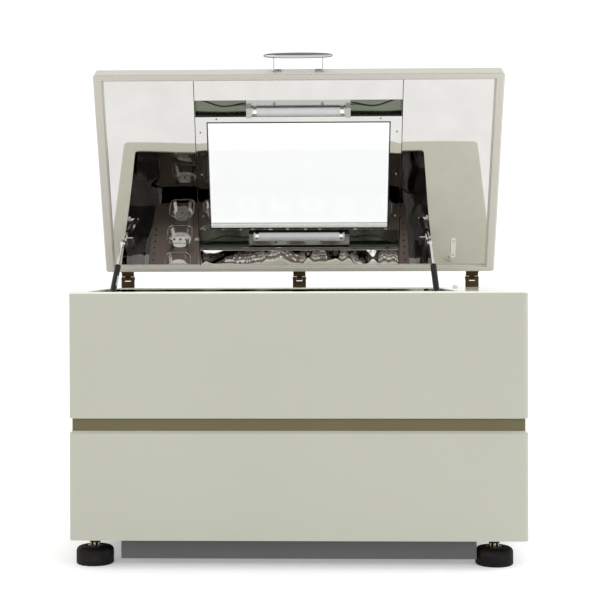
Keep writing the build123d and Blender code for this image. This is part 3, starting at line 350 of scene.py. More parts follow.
def tube(points, radius, smooth=True, sides=3):
    """Round wire along points in metres, made from a curve."""
    deselect_all()
    curve = bpy.data.curves.new("wire", "CURVE")
    curve.dimensions = "3D"
    curve.bevel_depth = radius
    curve.bevel_resolution = sides
    curve.use_fill_caps = True
    curve.resolution_u = 6
    line = curve.splines.new("NURBS" if smooth else "POLY")
    line.points.add(len(points) - 1)
    for control, point in zip(line.points, points):
        control.co = (*point, 1)
    if smooth:
        line.order_u = 3
        line.use_endpoint_u = True
    obj = bpy.data.objects.new("wire", curve)
    bpy.context.collection.objects.link(obj)
    take(obj)
    bpy.ops.object.convert(target="MESH")
    obj = bpy.context.object
    bpy.ops.object.shade_smooth_by_angle(angle=radians(50))
    return obj


def repeated(master, places):
    """Copies a modelled shape to each place, each copy with its own mesh, and joins them."""
    copies = []
    for place in places:
        twin = master.copy()
        twin.data = master.data.copy()
        twin.data.transform(place)
        bpy.context.collection.objects.link(twin)
        copies.append(twin)
    bpy.data.objects.remove(master)
    return joined(copies)


def joined(pieces):
    """Joins pieces into one object."""
    deselect_all()
    for piece in pieces:
        piece.select_set(True)
    bpy.context.view_layer.objects.active = pieces[0]
    if len(pieces) > 1:
        bpy.ops.object.join()
    return bpy.context.view_layer.objects.active


def fit(obj, name, body, finish, replaces=()):
    """Names a finished piece, gives it its finish, and lets it ride on a body."""
    obj.name = name
    obj.data.name = name
    obj.data.materials.clear()
    obj.data.materials.append(bpy.data.materials[finish])
    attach(obj, body)
    if replaces:
        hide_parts(*replaces)
    return obj


def pan_head(radius):
    """Domed screw head with a recess, standing on Z = 0."""
    rise = radius * 0.55
    screw = turned([
        (radius, -radius * 0.1), (radius, radius * 0.12), (radius * 0.93, rise * 0.62),
        (radius * 0.72, rise * 0.92), (radius * 0.46, rise), (radius * 0.40, rise * 0.96),
        (radius * 0.30, rise * 0.35),
    ])
    smooth(screw, 40)
    return screw


def hex_head(radius, height):
    """Hexagon bolt head on a washer, standing on Z = 0."""
    washer = turned([(radius * 1.35, 0), (radius * 1.38, height * 0.08), (radius * 1.35, height * 0.22)])
    head = turned(
        [(radius, height * 0.2), (radius, height * 0.9), (radius * 0.9, height), (radius * 0.3, height)], 6)
    head = joined([washer, head])
    smooth(head, 30)
    return head


# ------------------------------------------------------------------ shared shader groups

def new_group(name, inputs, outputs):
    """Empty shader group with named sockets; returns its tree and its two end nodes."""
    tree = bpy.data.node_groups.new(name, "ShaderNodeTree")
    for label, kind, default in inputs:
        socket = tree.interface.new_socket(label, in_out="INPUT", socket_type=kind)
        socket.default_value = default
    for label, kind in outputs:
        tree.interface.new_socket(label, in_out="OUTPUT", socket_type=kind)
    start = tree.nodes.new("NodeGroupInput")
    end = tree.nodes.new("NodeGroupOutput")
    return tree, start, end


def add_node(tree, kind, links=(), **values):
    """Adds a node, sets its properties or input values, and links its inputs."""
    node = tree.nodes.new(kind)
    for key, value in values.items():
        if hasattr(node, key):
            setattr(node, key, value)
        else:
            node.inputs[key.replace("_", " ")].default_value = value
    for socket, source in links:
        tree.links.new(source, node.inputs[socket])
    return node


def object_points(tree, stretch=None):
    """Object coordinates, stretched along an axis when asked."""
    points = add_node(tree, "ShaderNodeTexCoord").outputs["Object"]
    if stretch is None:
        return points
    mapping = add_node(tree, "ShaderNodeMapping", [("Vector", points)])
    mapping.inputs["Scale"].default_value = stretch
    return mapping.outputs["Vector"]


def ramp(tree, source, low, high, low_value=0.0, high_value=1.0):
    """Remaps a value between two limits."""
    node = add_node(tree, "ShaderNodeMapRange", [("Value", source)])
    node.inputs["From Min"].default_value = low
    node.inputs["From Max"].default_value = high
    node.inputs["To Min"].default_value = low_value
    node.inputs["To Max"].default_value = high_value
    return node.outputs["Result"]


def make_paint_group():
    """Orange peel, faint clouding and fine dust specks of a powder coat."""
    tree, start, end = new_group(
        "Powder Coat",
        [("Color", "NodeSocketColor", (0.5, 0.5, 0.5, 1)), ("Roughness", "NodeSocketFloat", 0.4),
         ("Clouding", "NodeSocketFloat", 0.04), ("Peel Scale", "NodeSocketFloat", 700.0),
         ("Peel Depth", "NodeSocketFloat", 0.00003)],
        [("Color", "NodeSocketColor"), ("Roughness", "NodeSocketFloat"), ("Normal", "NodeSocketVector")])
    points = object_points(tree)
    cloud = add_node(tree, "ShaderNodeTexNoise", [("Vector", points)], Scale=2.3, Detail=3.0)
    dust = add_node(tree, "ShaderNodeTexNoise", [("Vector", points)], Scale=420.0, Detail=2.0)
    shade = ramp(tree, cloud.outputs["Fac"], 0.3, 0.7, -0.5, 0.5)
    grain = ramp(tree, dust.outputs["Fac"], 0.35, 0.65, -0.12, 0.12)
    both = add_node(tree, "ShaderNodeMath", [(0, shade), (1, grain)], operation="ADD")
    level = add_node(
        tree, "ShaderNodeMath", [(0, both.outputs[0]), (1, start.outputs["Clouding"])],
        operation="MULTIPLY_ADD")
    level.inputs[2].default_value = 1.0
    tint = add_node(
        tree, "ShaderNodeVectorMath", [(0, start.outputs["Color"]), ("Scale", level.outputs[0])],
        operation="SCALE")
    gloss = add_node(
        tree, "ShaderNodeMath", [(0, both.outputs[0]), (2, start.outputs["Roughness"])],
        operation="MULTIPLY_ADD")
    gloss.inputs[1].default_value = 0.10
    peel = add_node(
        tree, "ShaderNodeTexNoise",
        [("Vector", points), ("Scale", start.outputs["Peel Scale"])], Detail=1.0)
    bump = add_node(
        tree, "ShaderNodeBump",
        [("Height", peel.outputs["Fac"]), ("Distance", start.outputs["Peel Depth"])], Strength=1.0)
    tree.links.new(tint.outputs["Vector"], end.inputs["Color"])
    tree.links.new(gloss.outputs[0], end.inputs["Roughness"])
    tree.links.new(bump.outputs["Normal"], end.inputs["Normal"])
    return tree


def make_sheet_group():
    """Slow waves, fine polish lines and faint smudges of a polished steel sheet."""
    tree, start, end = new_group(
        "Polished Sheet",
        [("Color", "NodeSocketColor", (0.8, 0.8, 0.8, 1)), ("Roughness", "NodeSocketFloat", 0.03),
         ("Wave Scale", "NodeSocketFloat", 5.0), ("Wave Depth", "NodeSocketFloat", 0.002),
         ("Smudge", "NodeSocketFloat", 0.05), ("Wave Stretch", "NodeSocketVector", (1, 1, 1))],
        [("Color", "NodeSocketColor"), ("Roughness", "NodeSocketFloat"), ("Normal", "NodeSocketVector")])
    points = object_points(tree)
    drawn = add_node(
        tree, "ShaderNodeMapping", [("Vector", points), ("Scale", start.outputs["Wave Stretch"])])
    wave = add_node(
        tree, "ShaderNodeTexNoise",
        [("Vector", drawn.outputs["Vector"]), ("Scale", start.outputs["Wave Scale"])], Detail=0.5)
    lines = add_node(
        tree, "ShaderNodeTexNoise", [("Vector", object_points(tree, (30, 900, 900)))], Scale=1.0, Detail=2.0)
    smear = add_node(tree, "ShaderNodeTexNoise", [("Vector", points)], Scale=14.0, Detail=5.0)
    mark = ramp(tree, smear.outputs["Fac"], 0.48, 0.75)
    rough = add_node(
        tree, "ShaderNodeMath",
        [(0, mark), (1, start.outputs["Smudge"]), (2, start.outputs["Roughness"])],
        operation="MULTIPLY_ADD")
    level = ramp(tree, smear.outputs["Fac"], 0.3, 0.7, 1.03, 0.96)
    tint = add_node(
        tree, "ShaderNodeVectorMath", [(0, start.outputs["Color"]), ("Scale", level)], operation="SCALE")
    broad = add_node(
        tree, "ShaderNodeBump",
        [("Height", wave.outputs["Fac"]), ("Distance", start.outputs["Wave Depth"])], Strength=1.0)
    fine = add_node(
        tree, "ShaderNodeBump",
        [("Height", lines.outputs["Fac"]), ("Normal", broad.outputs["Normal"])],
        Strength=0.35, Distance=0.000004)
    tree.links.new(tint.outputs["Vector"], end.inputs["Color"])
    tree.links.new(rough.outputs[0], end.inputs["Roughness"])
    tree.links.new(fine.outputs["Normal"], end.inputs["Normal"])
    return tree


def make_grain_group():
    """Brushed lines along X with light and dark streaks."""
    tree, start, end = new_group(
        "Brushed Grain",
        [("Color", "NodeSocketColor", (0.6, 0.6, 0.6, 1)), ("Roughness", "NodeSocketFloat", 0.3),
         ("Contrast", "NodeSocketFloat", 0.2), ("Depth", "NodeSocketFloat", 0.00002)],
        [("Color", "NodeSocketColor"), ("Roughness", "NodeSocketFloat"), ("Normal", "NodeSocketVector")])
    streak = add_node(
        tree, "ShaderNodeTexNoise", [("Vector", object_points(tree, (12, 700, 700)))], Scale=1.0, Detail=4.0)
    blotch = add_node(
        tree, "ShaderNodeTexNoise", [("Vector", object_points(tree))], Scale=9.0, Detail=4.0)
    both = add_node(
        tree, "ShaderNodeMath", [(0, streak.outputs["Fac"]), (1, blotch.outputs["Fac"])], operation="ADD")
    swing = ramp(tree, both.outputs[0], 0.7, 1.3, -0.5, 0.5)
    level = add_node(
        tree, "ShaderNodeMath", [(0, swing), (1, start.outputs["Contrast"])], operation="MULTIPLY_ADD")
    level.inputs[2].default_value = 1.0
    tint = add_node(
        tree, "ShaderNodeVectorMath", [(0, start.outputs["Color"]), ("Scale", level.outputs[0])],
        operation="SCALE")
    rough = add_node(
        tree, "ShaderNodeMath", [(0, swing), (2, start.outputs["Roughness"])], operation="MULTIPLY_ADD")
    rough.inputs[1].default_value = 0.12
    bump = add_node(
        tree, "ShaderNodeBump",
        [("Height", streak.outputs["Fac"]), ("Distance", start.outputs["Depth"])], Strength=0.6)
    tree.links.new(tint.outputs["Vector"], end.inputs["Color"])
    tree.links.new(rough.outputs[0], end.inputs["Roughness"])
    tree.links.new(bump.outputs["Normal"], end.inputs["Normal"])
    return tree


def make_moulded_group():
    """Fine moulded grain with settled dust, for rubber and plastic."""
    tree, start, end = new_group(
        "Moulded Grain",
        [("Color", "NodeSocketColor", (0.1, 0.1, 0.1, 1)),
         ("Dust Color", "NodeSocketColor", (0.4, 0.38, 0.34, 1)),
         ("Dust", "NodeSocketFloat", 0.15), ("Roughness", "NodeSocketFloat", 0.6),
         ("Grain Scale", "NodeSocketFloat", 500.0), ("Grain Depth", "NodeSocketFloat", 0.00005)],
        [("Color", "NodeSocketColor"), ("Roughness", "NodeSocketFloat"), ("Normal", "NodeSocketVector")])
    points = object_points(tree)
    patch = add_node(tree, "ShaderNodeTexNoise", [("Vector", points)], Scale=26.0, Detail=6.0)
    settled = ramp(tree, patch.outputs["Fac"], 0.45, 0.8)
    amount = add_node(
        tree, "ShaderNodeMath", [(0, settled), (1, start.outputs["Dust"])], operation="MULTIPLY")
    colour = add_node(
        tree, "ShaderNodeMix",
        [(0, amount.outputs[0]), (6, start.outputs["Color"]), (7, start.outputs["Dust Color"])],
        data_type="RGBA")
    rough = add_node(
        tree, "ShaderNodeMath", [(0, patch.outputs["Fac"]), (2, start.outputs["Roughness"])],
        operation="MULTIPLY_ADD")
    rough.inputs[1].default_value = 0.12
    grain = add_node(
        tree, "ShaderNodeTexNoise",
        [("Vector", points), ("Scale", start.outputs["Grain Scale"])], Detail=3.0)
    bump = add_node(
        tree, "ShaderNodeBump",
        [("Height", grain.outputs["Fac"]), ("Distance", start.outputs["Grain Depth"])], Strength=0.8)
    tree.links.new(colour.outputs[2], end.inputs["Color"])
    tree.links.new(rough.outputs[0], end.inputs["Roughness"])
    tree.links.new(bump.outputs["Normal"], end.inputs["Normal"])
    return tree


def finish_from_group(name, group, values, **shader_values):
    """Material whose colour, roughness and normal come from a shared group."""
    material = bpy.data.materials.new(name)
    material.use_nodes = True
    tree = material.node_tree
    shader = tree.nodes["Principled BSDF"]
    pattern = tree.nodes.new("ShaderNodeGroup")
    pattern.node_tree = bpy.data.node_groups[group]
    for key, value in values.items():
        pattern.inputs[key].default_value = (*value, 1) if key.endswith("Color") else value
    tree.links.new(pattern.outputs["Color"], shader.inputs["Base Color"])
    tree.links.new(pattern.outputs["Roughness"], shader.inputs["Roughness"])
    tree.links.new(pattern.outputs["Normal"], shader.inputs["Normal"])
    for key, value in shader_values.items():
        shader.inputs[key.replace("_", " ")].default_value = value
    return material


def glass_finish(name, colour, roughness=0.01, ior=1.46):
    """Clear glass with a plain transmission weight and faint wipe marks in its gloss."""
    material = bpy.data.materials.new(name)
    material.use_nodes = True
    tree = material.node_tree
    shader = tree.nodes["Principled BSDF"]
    shader.inputs["Base Color"].default_value = (*colour, 1)
    shader.inputs["Transmission Weight"].default_value = 1.0
    shader.inputs["IOR"].default_value = ior
    marks = add_node(tree, "ShaderNodeTexNoise", [("Vector", object_points(tree))], Scale=9.0, Detail=5.0)
    wipe = ramp(tree, marks.outputs["Fac"], 0.5, 0.8, roughness, roughness + 0.03)
    tree.links.new(wipe, shader.inputs["Roughness"])
    return material


def chrome_with_painted_edge_reflection(name):
    """Chrome of the grip: wavy plating, with a painted dark reflection that darkens its colour towards the
    edges, where the surface turns away from the view.
    """
    material = finish_from_group(
        name, "Polished Sheet",
        {"Color": (0.50, 0.49, 0.48), "Roughness": 0.07, "Wave Scale": 16.0, "Wave Depth": 0.0008},
        Metallic=1.0)
    tree = material.node_tree
    shader = tree.nodes["Principled BSDF"]
    plating = shader.inputs["Base Color"].links[0].from_socket
    # Painted dark reflection: the chrome's colour turns near black where the surface faces away from the
    # view.
    facing = add_node(tree, "ShaderNodeLayerWeight", Blend=0.45)
    edge = ramp(tree, facing.outputs["Facing"], 0.05, 0.45)
    mix = add_node(tree, "ShaderNodeMix", [(0, edge), (6, plating)], data_type="RGBA")
    mix.inputs[7].default_value = (0.045, 0.042, 0.040, 1)
    tree.links.new(mix.outputs[2], shader.inputs["Base Color"])
    return material


STEEL_GROUPS = ("Polished Sheet", "Brushed Grain")
FINISH_BY_SLOT = {
    "painted_steel": "Panel powder coat",
    "waist_paint": "Waist paint",
    "frame_paint": "Frame paint",
    "mirror_steel": "Polished liner",
    "satin_steel": "Satin platform sheet",
    "clamp_steel": "Bright clamp sheet",
    "foam": "Insulation foam",
    "seal_rubber": "Lid seal rubber",
    "black_rubber": "Black rubber",
    "cast_parts": "Cast iron",
    "bearing_steel": "Ground bearing steel",
    "motor_paint": "Motor enamel",
    "fan_plastic": "Black plastic",
    "heater_steel": "Heater sheath",
    "supply_case": "Supply case aluminium",
    "red_plastic": "Red switch plastic",
    "sensor_plastic": "White sensor plastic",
    "bronze_hinge": "Hinge bronze",
    "chrome_parts": "Chrome",
    "strut_black": "Strut black",
    "window_pane": "Window glass",
    "lamp_white": "Lamp housing steel",
    "lamp_glass": "Lamp tube",
    "panel_overlay": "Panel overlay",
}
FINISH_BY_NODE = {
    "deck_plate": "Deck enamel",
    "lid_shell": "Lid powder coat",
    "chamber_liner": "Chamber liner",
    "window_trim": "Window trim steel",
    "lamp_trays": "Lamp recess steel",
    "hinge_pins": "Hinge pin steel",
    "handle_posts": "Handle chrome",
}


class SHAKER_OT_finishes(bpy.types.Operator):
    """Makes every finish and gives one to each part of the fixed frame"""

    bl_idname = "shaker.finishes"
    bl_label = "Finishes"

    def execute(self, context):
        colours = context.scene.shaker_finish
        make_paint_group()
        make_sheet_group()
        make_grain_group()
        make_moulded_group()

        panel = tuple(colours.panel)
        mirror = tuple(colours.mirror)
        for name, group, values, shader_values in (
            ("Panel powder coat", "Powder Coat",
             {"Color": panel, "Roughness": 0.46, "Clouding": 0.035}, {"Specular_IOR_Level": 0.4}),
            # Lid coat: the panel paint made lighter as painted light, a lit copy of the same powder coat;
            # its lower roughness is the real gloss.
            ("Lid powder coat", "Powder Coat",
             {"Color": tuple((c * LID_PAINTED_LIGHT for c in panel)), "Roughness": 0.3, "Clouding": 0.03},
             {"Specular_IOR_Level": 0.5}),
            # Deck: the panel paint made lighter as a painted highlight, a lit copy of the same paint; its
            # lower roughness is the real gloss.
            ("Deck enamel", "Powder Coat",
             {"Color": tuple((min(c * DECK_PAINTED_LIGHT, BRIGHTEST) for c in panel)), "Roughness": 0.16,
              "Clouding": 0.03, "Peel Depth": 1e-05}, {"Specular_IOR_Level": 0.6}),
            # Waist: dark strip paint plus painted shade of the groove.
            ("Waist paint", "Powder Coat",
             {"Color": tuple(colours.waist), "Roughness": 0.5, "Clouding": 0.12},
             {"Specular_IOR_Level": 0.3}),
            # Frame: on the base pan this grey is painted shade for the shadow under the cabinet; on the
            # drive stand it is real paint.
            ("Frame paint", "Powder Coat",
             {"Color": tuple(colours.frame), "Roughness": 0.6, "Clouding": 0.1},
             {"Specular_IOR_Level": 0.2}),
            ("Motor enamel", "Powder Coat",
             {"Color": (0.02, 0.03, 0.05), "Roughness": 0.35, "Clouding": 0.2, "Peel Depth": 0.0001},
             {}),
            ("Strut black", "Powder Coat",
             {"Color": (0.008, 0.007, 0.008), "Roughness": 0.34, "Clouding": 0.4, "Peel Depth": 2e-05},
             {"Specular_IOR_Level": 0.22}),
            ("Cast iron", "Powder Coat",
             {"Color": (0.09, 0.09, 0.095), "Roughness": 0.55, "Clouding": 0.5, "Peel Scale": 380.0,
              "Peel Depth": 0.0003}, {}),
            ("Polished liner", "Polished Sheet",
             {"Color": mirror, "Roughness": 0.008, "Wave Scale": 3.2, "Wave Depth": 0.0014,
              "Smudge": 0.03}, {}),
            # Chamber: the polished liner's colour darkened as painted shade for the shade inside the
            # chamber.
            ("Chamber liner", "Polished Sheet",
             {"Color": tuple((c * CHAMBER_SHADE for c in mirror)), "Roughness": 0.03, "Wave Scale": 6.0,
              "Wave Depth": 0.009}, {}),
            ("Window trim steel", "Polished Sheet",
             {"Color": mirror, "Roughness": 0.015, "Wave Scale": 9.0, "Wave Depth": 0.0018}, {}),
            ("Lamp recess steel", "Polished Sheet",
             {"Color": (0.15, 0.165, 0.13), "Roughness": 0.16, "Wave Scale": 9.0, "Wave Depth": 0.004},
             {}),
            ("Lamp housing steel", "Polished Sheet",
             {"Color": (0.4, 0.41, 0.38), "Roughness": 0.12, "Wave Scale": 14.0, "Wave Depth": 0.001},
             {}),
            # Hinge strip: the polished liner's colour made lighter as painted light, a lit copy of the same
            # sheet; its waves are real bumps.
            ("Warped strip", "Polished Sheet",
             {"Color": tuple((min(c * STRIP_PAINTED_LIGHT, BRIGHTEST) for c in mirror)), "Roughness": 0.02,
              "Wave Scale": 5.0, "Wave Depth": 0.11, "Wave Stretch": (2.2, 0.35, 0.35)}, {}),
            ("Chrome", "Polished Sheet",
             {"Color": (0.82, 0.82, 0.82), "Roughness": 0.05, "Wave Scale": 20.0, "Wave Depth": 0.0002,
              "Smudge": 0.08}, {}),
            ("Hinge pin steel", "Polished Sheet",
             {"Color": (0.85, 0.8, 0.66), "Roughness": 0.15, "Wave Scale": 40.0, "Wave Depth": 0.0002},
             {}),
            ("Satin platform sheet", "Brushed Grain",
             {"Color": tuple(colours.platform), "Roughness": 0.34, "Contrast": 0.35}, {}),
            ("Bright clamp sheet", "Brushed Grain",
             {"Color": (0.82, 0.81, 0.78), "Roughness": 0.15, "Contrast": 0.2}, {}),
            ("Ground bearing steel", "Brushed Grain",
             {"Color": (0.55, 0.55, 0.57), "Roughness": 0.25, "Contrast": 0.2}, {}),
            ("Heater sheath", "Brushed Grain",
             {"Color": (0.33, 0.27, 0.24), "Roughness": 0.4, "Contrast": 0.6}, {}),
            ("Supply case aluminium", "Brushed Grain",
             {"Color": (0.6, 0.61, 0.62), "Roughness": 0.35, "Contrast": 0.15}, {}),
            ("Hinge bronze", "Brushed Grain",
             {"Color": tuple(colours.hinge), "Roughness": 0.33, "Contrast": 0.7, "Depth": 6e-05}, {}),
            ("Screw steel", "Brushed Grain",
             {"Color": (0.3, 0.29, 0.27), "Roughness": 0.3, "Contrast": 0.3}, {}),
            ("Brass nut", "Brushed Grain",
             {"Color": (0.5, 0.4, 0.24), "Roughness": 0.3, "Contrast": 0.4}, {}),
            ("Lid seal rubber", "Moulded Grain",
             {"Color": tuple(colours.seal), "Dust Color": (0.5, 0.49, 0.45), "Dust": 0.3,
              "Roughness": 0.48, "Grain Scale": 800.0, "Grain Depth": 2e-05}, {}),
            ("Black rubber", "Moulded Grain",
             {"Color": (0.01, 0.009, 0.009), "Dust": 0.04, "Roughness": 0.5},
             {"Specular_IOR_Level": 0.08}),
            ("Black plastic", "Moulded Grain",
             {"Color": (0.02, 0.02, 0.022), "Dust": 0.08, "Roughness": 0.36, "Grain Scale": 900.0,
              "Grain Depth": 3e-05}, {}),
            ("Insulation foam", "Moulded Grain",
             {"Color": (0.76, 0.68, 0.42), "Dust Color": (0.6, 0.5, 0.3), "Dust": 0.5,
              "Roughness": 0.75, "Grain Scale": 180.0, "Grain Depth": 0.0006}, {}),
            ("Red switch plastic", "Moulded Grain",
             {"Color": (0.52, 0.006, 0.008), "Dust Color": (0.5, 0.1, 0.1), "Dust": 0.1,
              "Roughness": 0.2, "Grain Depth": 1e-05}, {}),
            ("White sensor plastic", "Moulded Grain",
             {"Color": (0.74, 0.73, 0.69), "Dust Color": (0.5, 0.46, 0.4), "Dust": 0.25,
              "Roughness": 0.26, "Grain Depth": 1e-05}, {}),
            ("Panel overlay", "Moulded Grain",
             {"Color": (0.062, 0.075, 0.1), "Dust Color": (0.2, 0.22, 0.25), "Dust": 0.12,
              "Roughness": 0.38, "Grain Scale": 1200.0, "Grain Depth": 2e-05}, {}),
            ("Label film", "Moulded Grain",
             {"Color": (0.66, 0.68, 0.72), "Dust Color": (0.4, 0.4, 0.4), "Dust": 0.2, "Roughness": 0.3,
              "Grain Depth": 1e-05}, {}),
            ("Key rubber", "Moulded Grain",
             {"Color": (0.5, 0.52, 0.54), "Dust Color": (0.3, 0.3, 0.3), "Dust": 0.15, "Roughness": 0.5,
              "Grain Scale": 900.0}, {}),
            ("Lamp tube", "Moulded Grain",
             {"Color": (0.52, 0.53, 0.53), "Dust Color": (0.4, 0.4, 0.4), "Dust": 0.15,
              "Roughness": 0.15, "Grain Depth": 5e-06},
             {"Emission_Color": (1, 1, 1, 1), "Emission_Strength": 0.03}),
            ("Display dark", "Moulded Grain",
             {"Color": (0.004, 0.012, 0.012), "Dust Color": (0.1, 0.1, 0.1), "Dust": 0.1,
              "Roughness": 0.06, "Grain Depth": 2e-06}, {"Coat_Weight": 1.0}),
        ):
            if group in STEEL_GROUPS:
                shader_values["Metallic"] = 1.0
            finish_from_group(name, group, values, **shader_values)
        glass_finish("Window glass", (0.99, 1.0, 0.995))
        chrome_with_painted_edge_reflection("Handle chrome")

        slots = {row["node"]: row["material_slot"] for row in frame["record"]["subparts"]}
        for node, obj in frame["nodes"].items():
            finish = bpy.data.materials[FINISH_BY_NODE.get(node, FINISH_BY_SLOT[slots[node]])]
            if not obj.material_slots:
                obj.data.materials.append(finish)
            for place in obj.material_slots:
                place.material = finish
        return {"FINISHED"}


# ------------------------------------------------------------------ pieces

class SHAKER_OT_window_gasket(bpy.types.Operator):
    """Thin black gasket and polished reveal of the lid's window"""

    bl_idname = "shaker.window_gasket"
    bl_label = "Window Gasket"

    def execute(self, context):
        width = context.scene.shaker_fittings.gasket_width
        ring = window_ring(
            (-WINDOW_X * MM - width, WINDOW_Y[0] * MM - width),
            (WINDOW_X * MM + width, WINDOW_Y[1] * MM + width),
            width, -14.4 * MM, -11.0 * MM, 0.0007)
        settle(ring, LID_FRAME)
        fit(ring, "window_gasket", "lid", "Black rubber")
        gap = 0.1 * MM
        reveal = window_ring(
            (-WINDOW_X * MM + gap, WINDOW_Y[0] * MM + gap), (WINDOW_X * MM - gap, WINDOW_Y[1] * MM - gap),
            0.6 * MM, -12.0 * MM, 20 * MM, 0.0001)
        settle(reveal, LID_FRAME)
        fit(reveal, "window_reveal", "lid", "Polished liner")
        return {"FINISHED"}


class SHAKER_OT_hinge_strip(bpy.types.Operator):
    """Warped sheet that closes the liner along its hinge edge"""

    bl_idname = "shaker.hinge_strip"
    bl_label = "Hinge Strip"

    def execute(self, context):
        reach = (TRIM_X - 1) * MM
        sheet = slab(
            (-reach, STRIP_Y[0] * MM, (LINER_FACE - 0.7) * MM),
            (reach, STRIP_Y[1] * MM, (LINER_FACE + 0.2) * MM), 0.0003)
        settle(sheet, LID_FRAME)
        fit(sheet, "hinge_strip", "lid", "Warped strip")
        return {"FINISHED"}


class SHAKER_OT_lid_screws(bpy.types.Operator):
    """Pan-head screws of the liner, the window trim and the lamps"""

    bl_idname = "shaker.lid_screws"
    bl_label = "Lid Screws"

    def execute(self, context):
        radius = context.scene.shaker_fittings.screw_radius
        edge = 14
        spots = [(side * (TRIM_X - edge), y) for side in (-1, 1) for y in (-478, -346, -212)]
        spots += [(side * 240, TRIM_Y[0] + 6) for side in (-1, 1)]
        places = [on_lid(x, y, LINER_FACE, FACE_DOWN) for x, y in spots]
        liner_screws = repeated(pan_head(radius), places)
        fit(liner_screws, "liner_screws", "lid", "Screw steel")

        places = [
            on_lid(x, far_y + towards * 16, LAMP_FLOOR - 17, FACE_DOWN)
            for far_y, towards in LAMP_ROWS for x in (-70, 70)
        ]
        lamp_screws = repeated(pan_head(0.0045), places)
        fit(lamp_screws, "lamp_screws", "lid", "Screw steel")
        return {"FINISHED"}


class SHAKER_OT_lamp_fittings(bpy.types.Operator):
    """Tube caps and the fixed leads of the two lamps"""

    bl_idname = "shaker.lamp_fittings"
    bl_label = "Lamp Fittings"

    def execute(self, context):
        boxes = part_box("lamp_tubes")
        half = max(abs(boxes[0].x), abs(boxes[1].x))
        axis_z = (LAMP_FLOOR - LAMP_DROP) * MM
        holder_end = max(abs(corner.x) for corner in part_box("lamp_housings")) / MM
        caps = []
        for far_y, towards in LAMP_ROWS:
            axis_y = (far_y + towards * LAMP_AXIS) * MM
            for side in (-1, 1):
                cap = turned([
                    (0.0120, 0), (0.0133, 0.0008), (0.0133, 0.0110), (0.0131, 0.0118), (0.0126, 0.0118)])
                turn = FACE_LEFT if side > 0 else FACE_RIGHT
                cap.data.transform(Matrix.Translation((side * (half - 0.0042), axis_y, axis_z)) @ turn)
                cap.data.transform(LID_FRAME)
                caps.append(cap)
        caps = joined(caps)
        smooth(caps, 35)
        fit(caps, "lamp_tube_caps", "lid", "Bright clamp sheet")

        leads = []
        for far_y, towards in LAMP_ROWS:
            for side in (-1, 1):
                route = [
                    (side * (holder_end - 1), far_y + towards * 22, LAMP_FLOOR - 10),
                    (side * (holder_end + 14), far_y + towards * 20, LAMP_FLOOR - 7),
                    (side * 190, far_y + towards * 26, LAMP_FLOOR - 2.4),
                    (side * 226, far_y + towards * 30, LAMP_FLOOR - 2.0),
                    (side * 262, far_y + towards * 17, LAMP_FLOOR - 2.0),
                    (side * 284, far_y + towards * 8, LAMP_FLOOR - 2.4),
                    (side * 299, far_y + towards * 7, LAMP_FLOOR - 4.5),
                ]
                lead = tube([Vector(point) * MM for point in route], 0.0017)
                lead.data.transform(LID_FRAME)
                leads.append(lead)
        fit(joined(leads), "lamp_leads", "lid", "Black plastic")
        return {"FINISHED"}


class SHAKER_OT_handle(bpy.types.Operator):
    """Flat oval chrome grip and the screws in the feet of its posts"""

    bl_idname = "shaker.handle"
    bl_label = "Handle"

    def execute(self, context):
        base = LID_FRAME @ Matrix.Translation(Vector((0, -LID_LENGTH, 6.4)) * MM) @ FACE_FRONT
        grip = turned([
            (0.0900, 0.0), (0.0972, 0.0010), (0.1000, 0.0030), (0.1004, 0.0052),
            (0.0990, 0.0076), (0.0940, 0.0098), (0.0800, 0.0112), (0.0500, 0.0119), (0.0200, 0.0120),
        ], 64)
        for vertex in grip.data.vertices:
            vertex.co.y *= 0.1494
        finish_modifier(grip, "SUBSURF", levels=1, render_levels=1)
        smooth(grip, 60)
        settle(grip, base @ Matrix.Translation((0, 0, 0.041)))
        fit(grip, "handle_bar", "lid", "Handle chrome", ["handle_grip"])

        places = [base @ Matrix.Translation((side * 0.0575, 0, 0.004)) for side in (-1, 1)]
        fit(repeated(pan_head(0.0042), places), "handle_screws", "lid", "Screw steel")
        return {"FINISHED"}


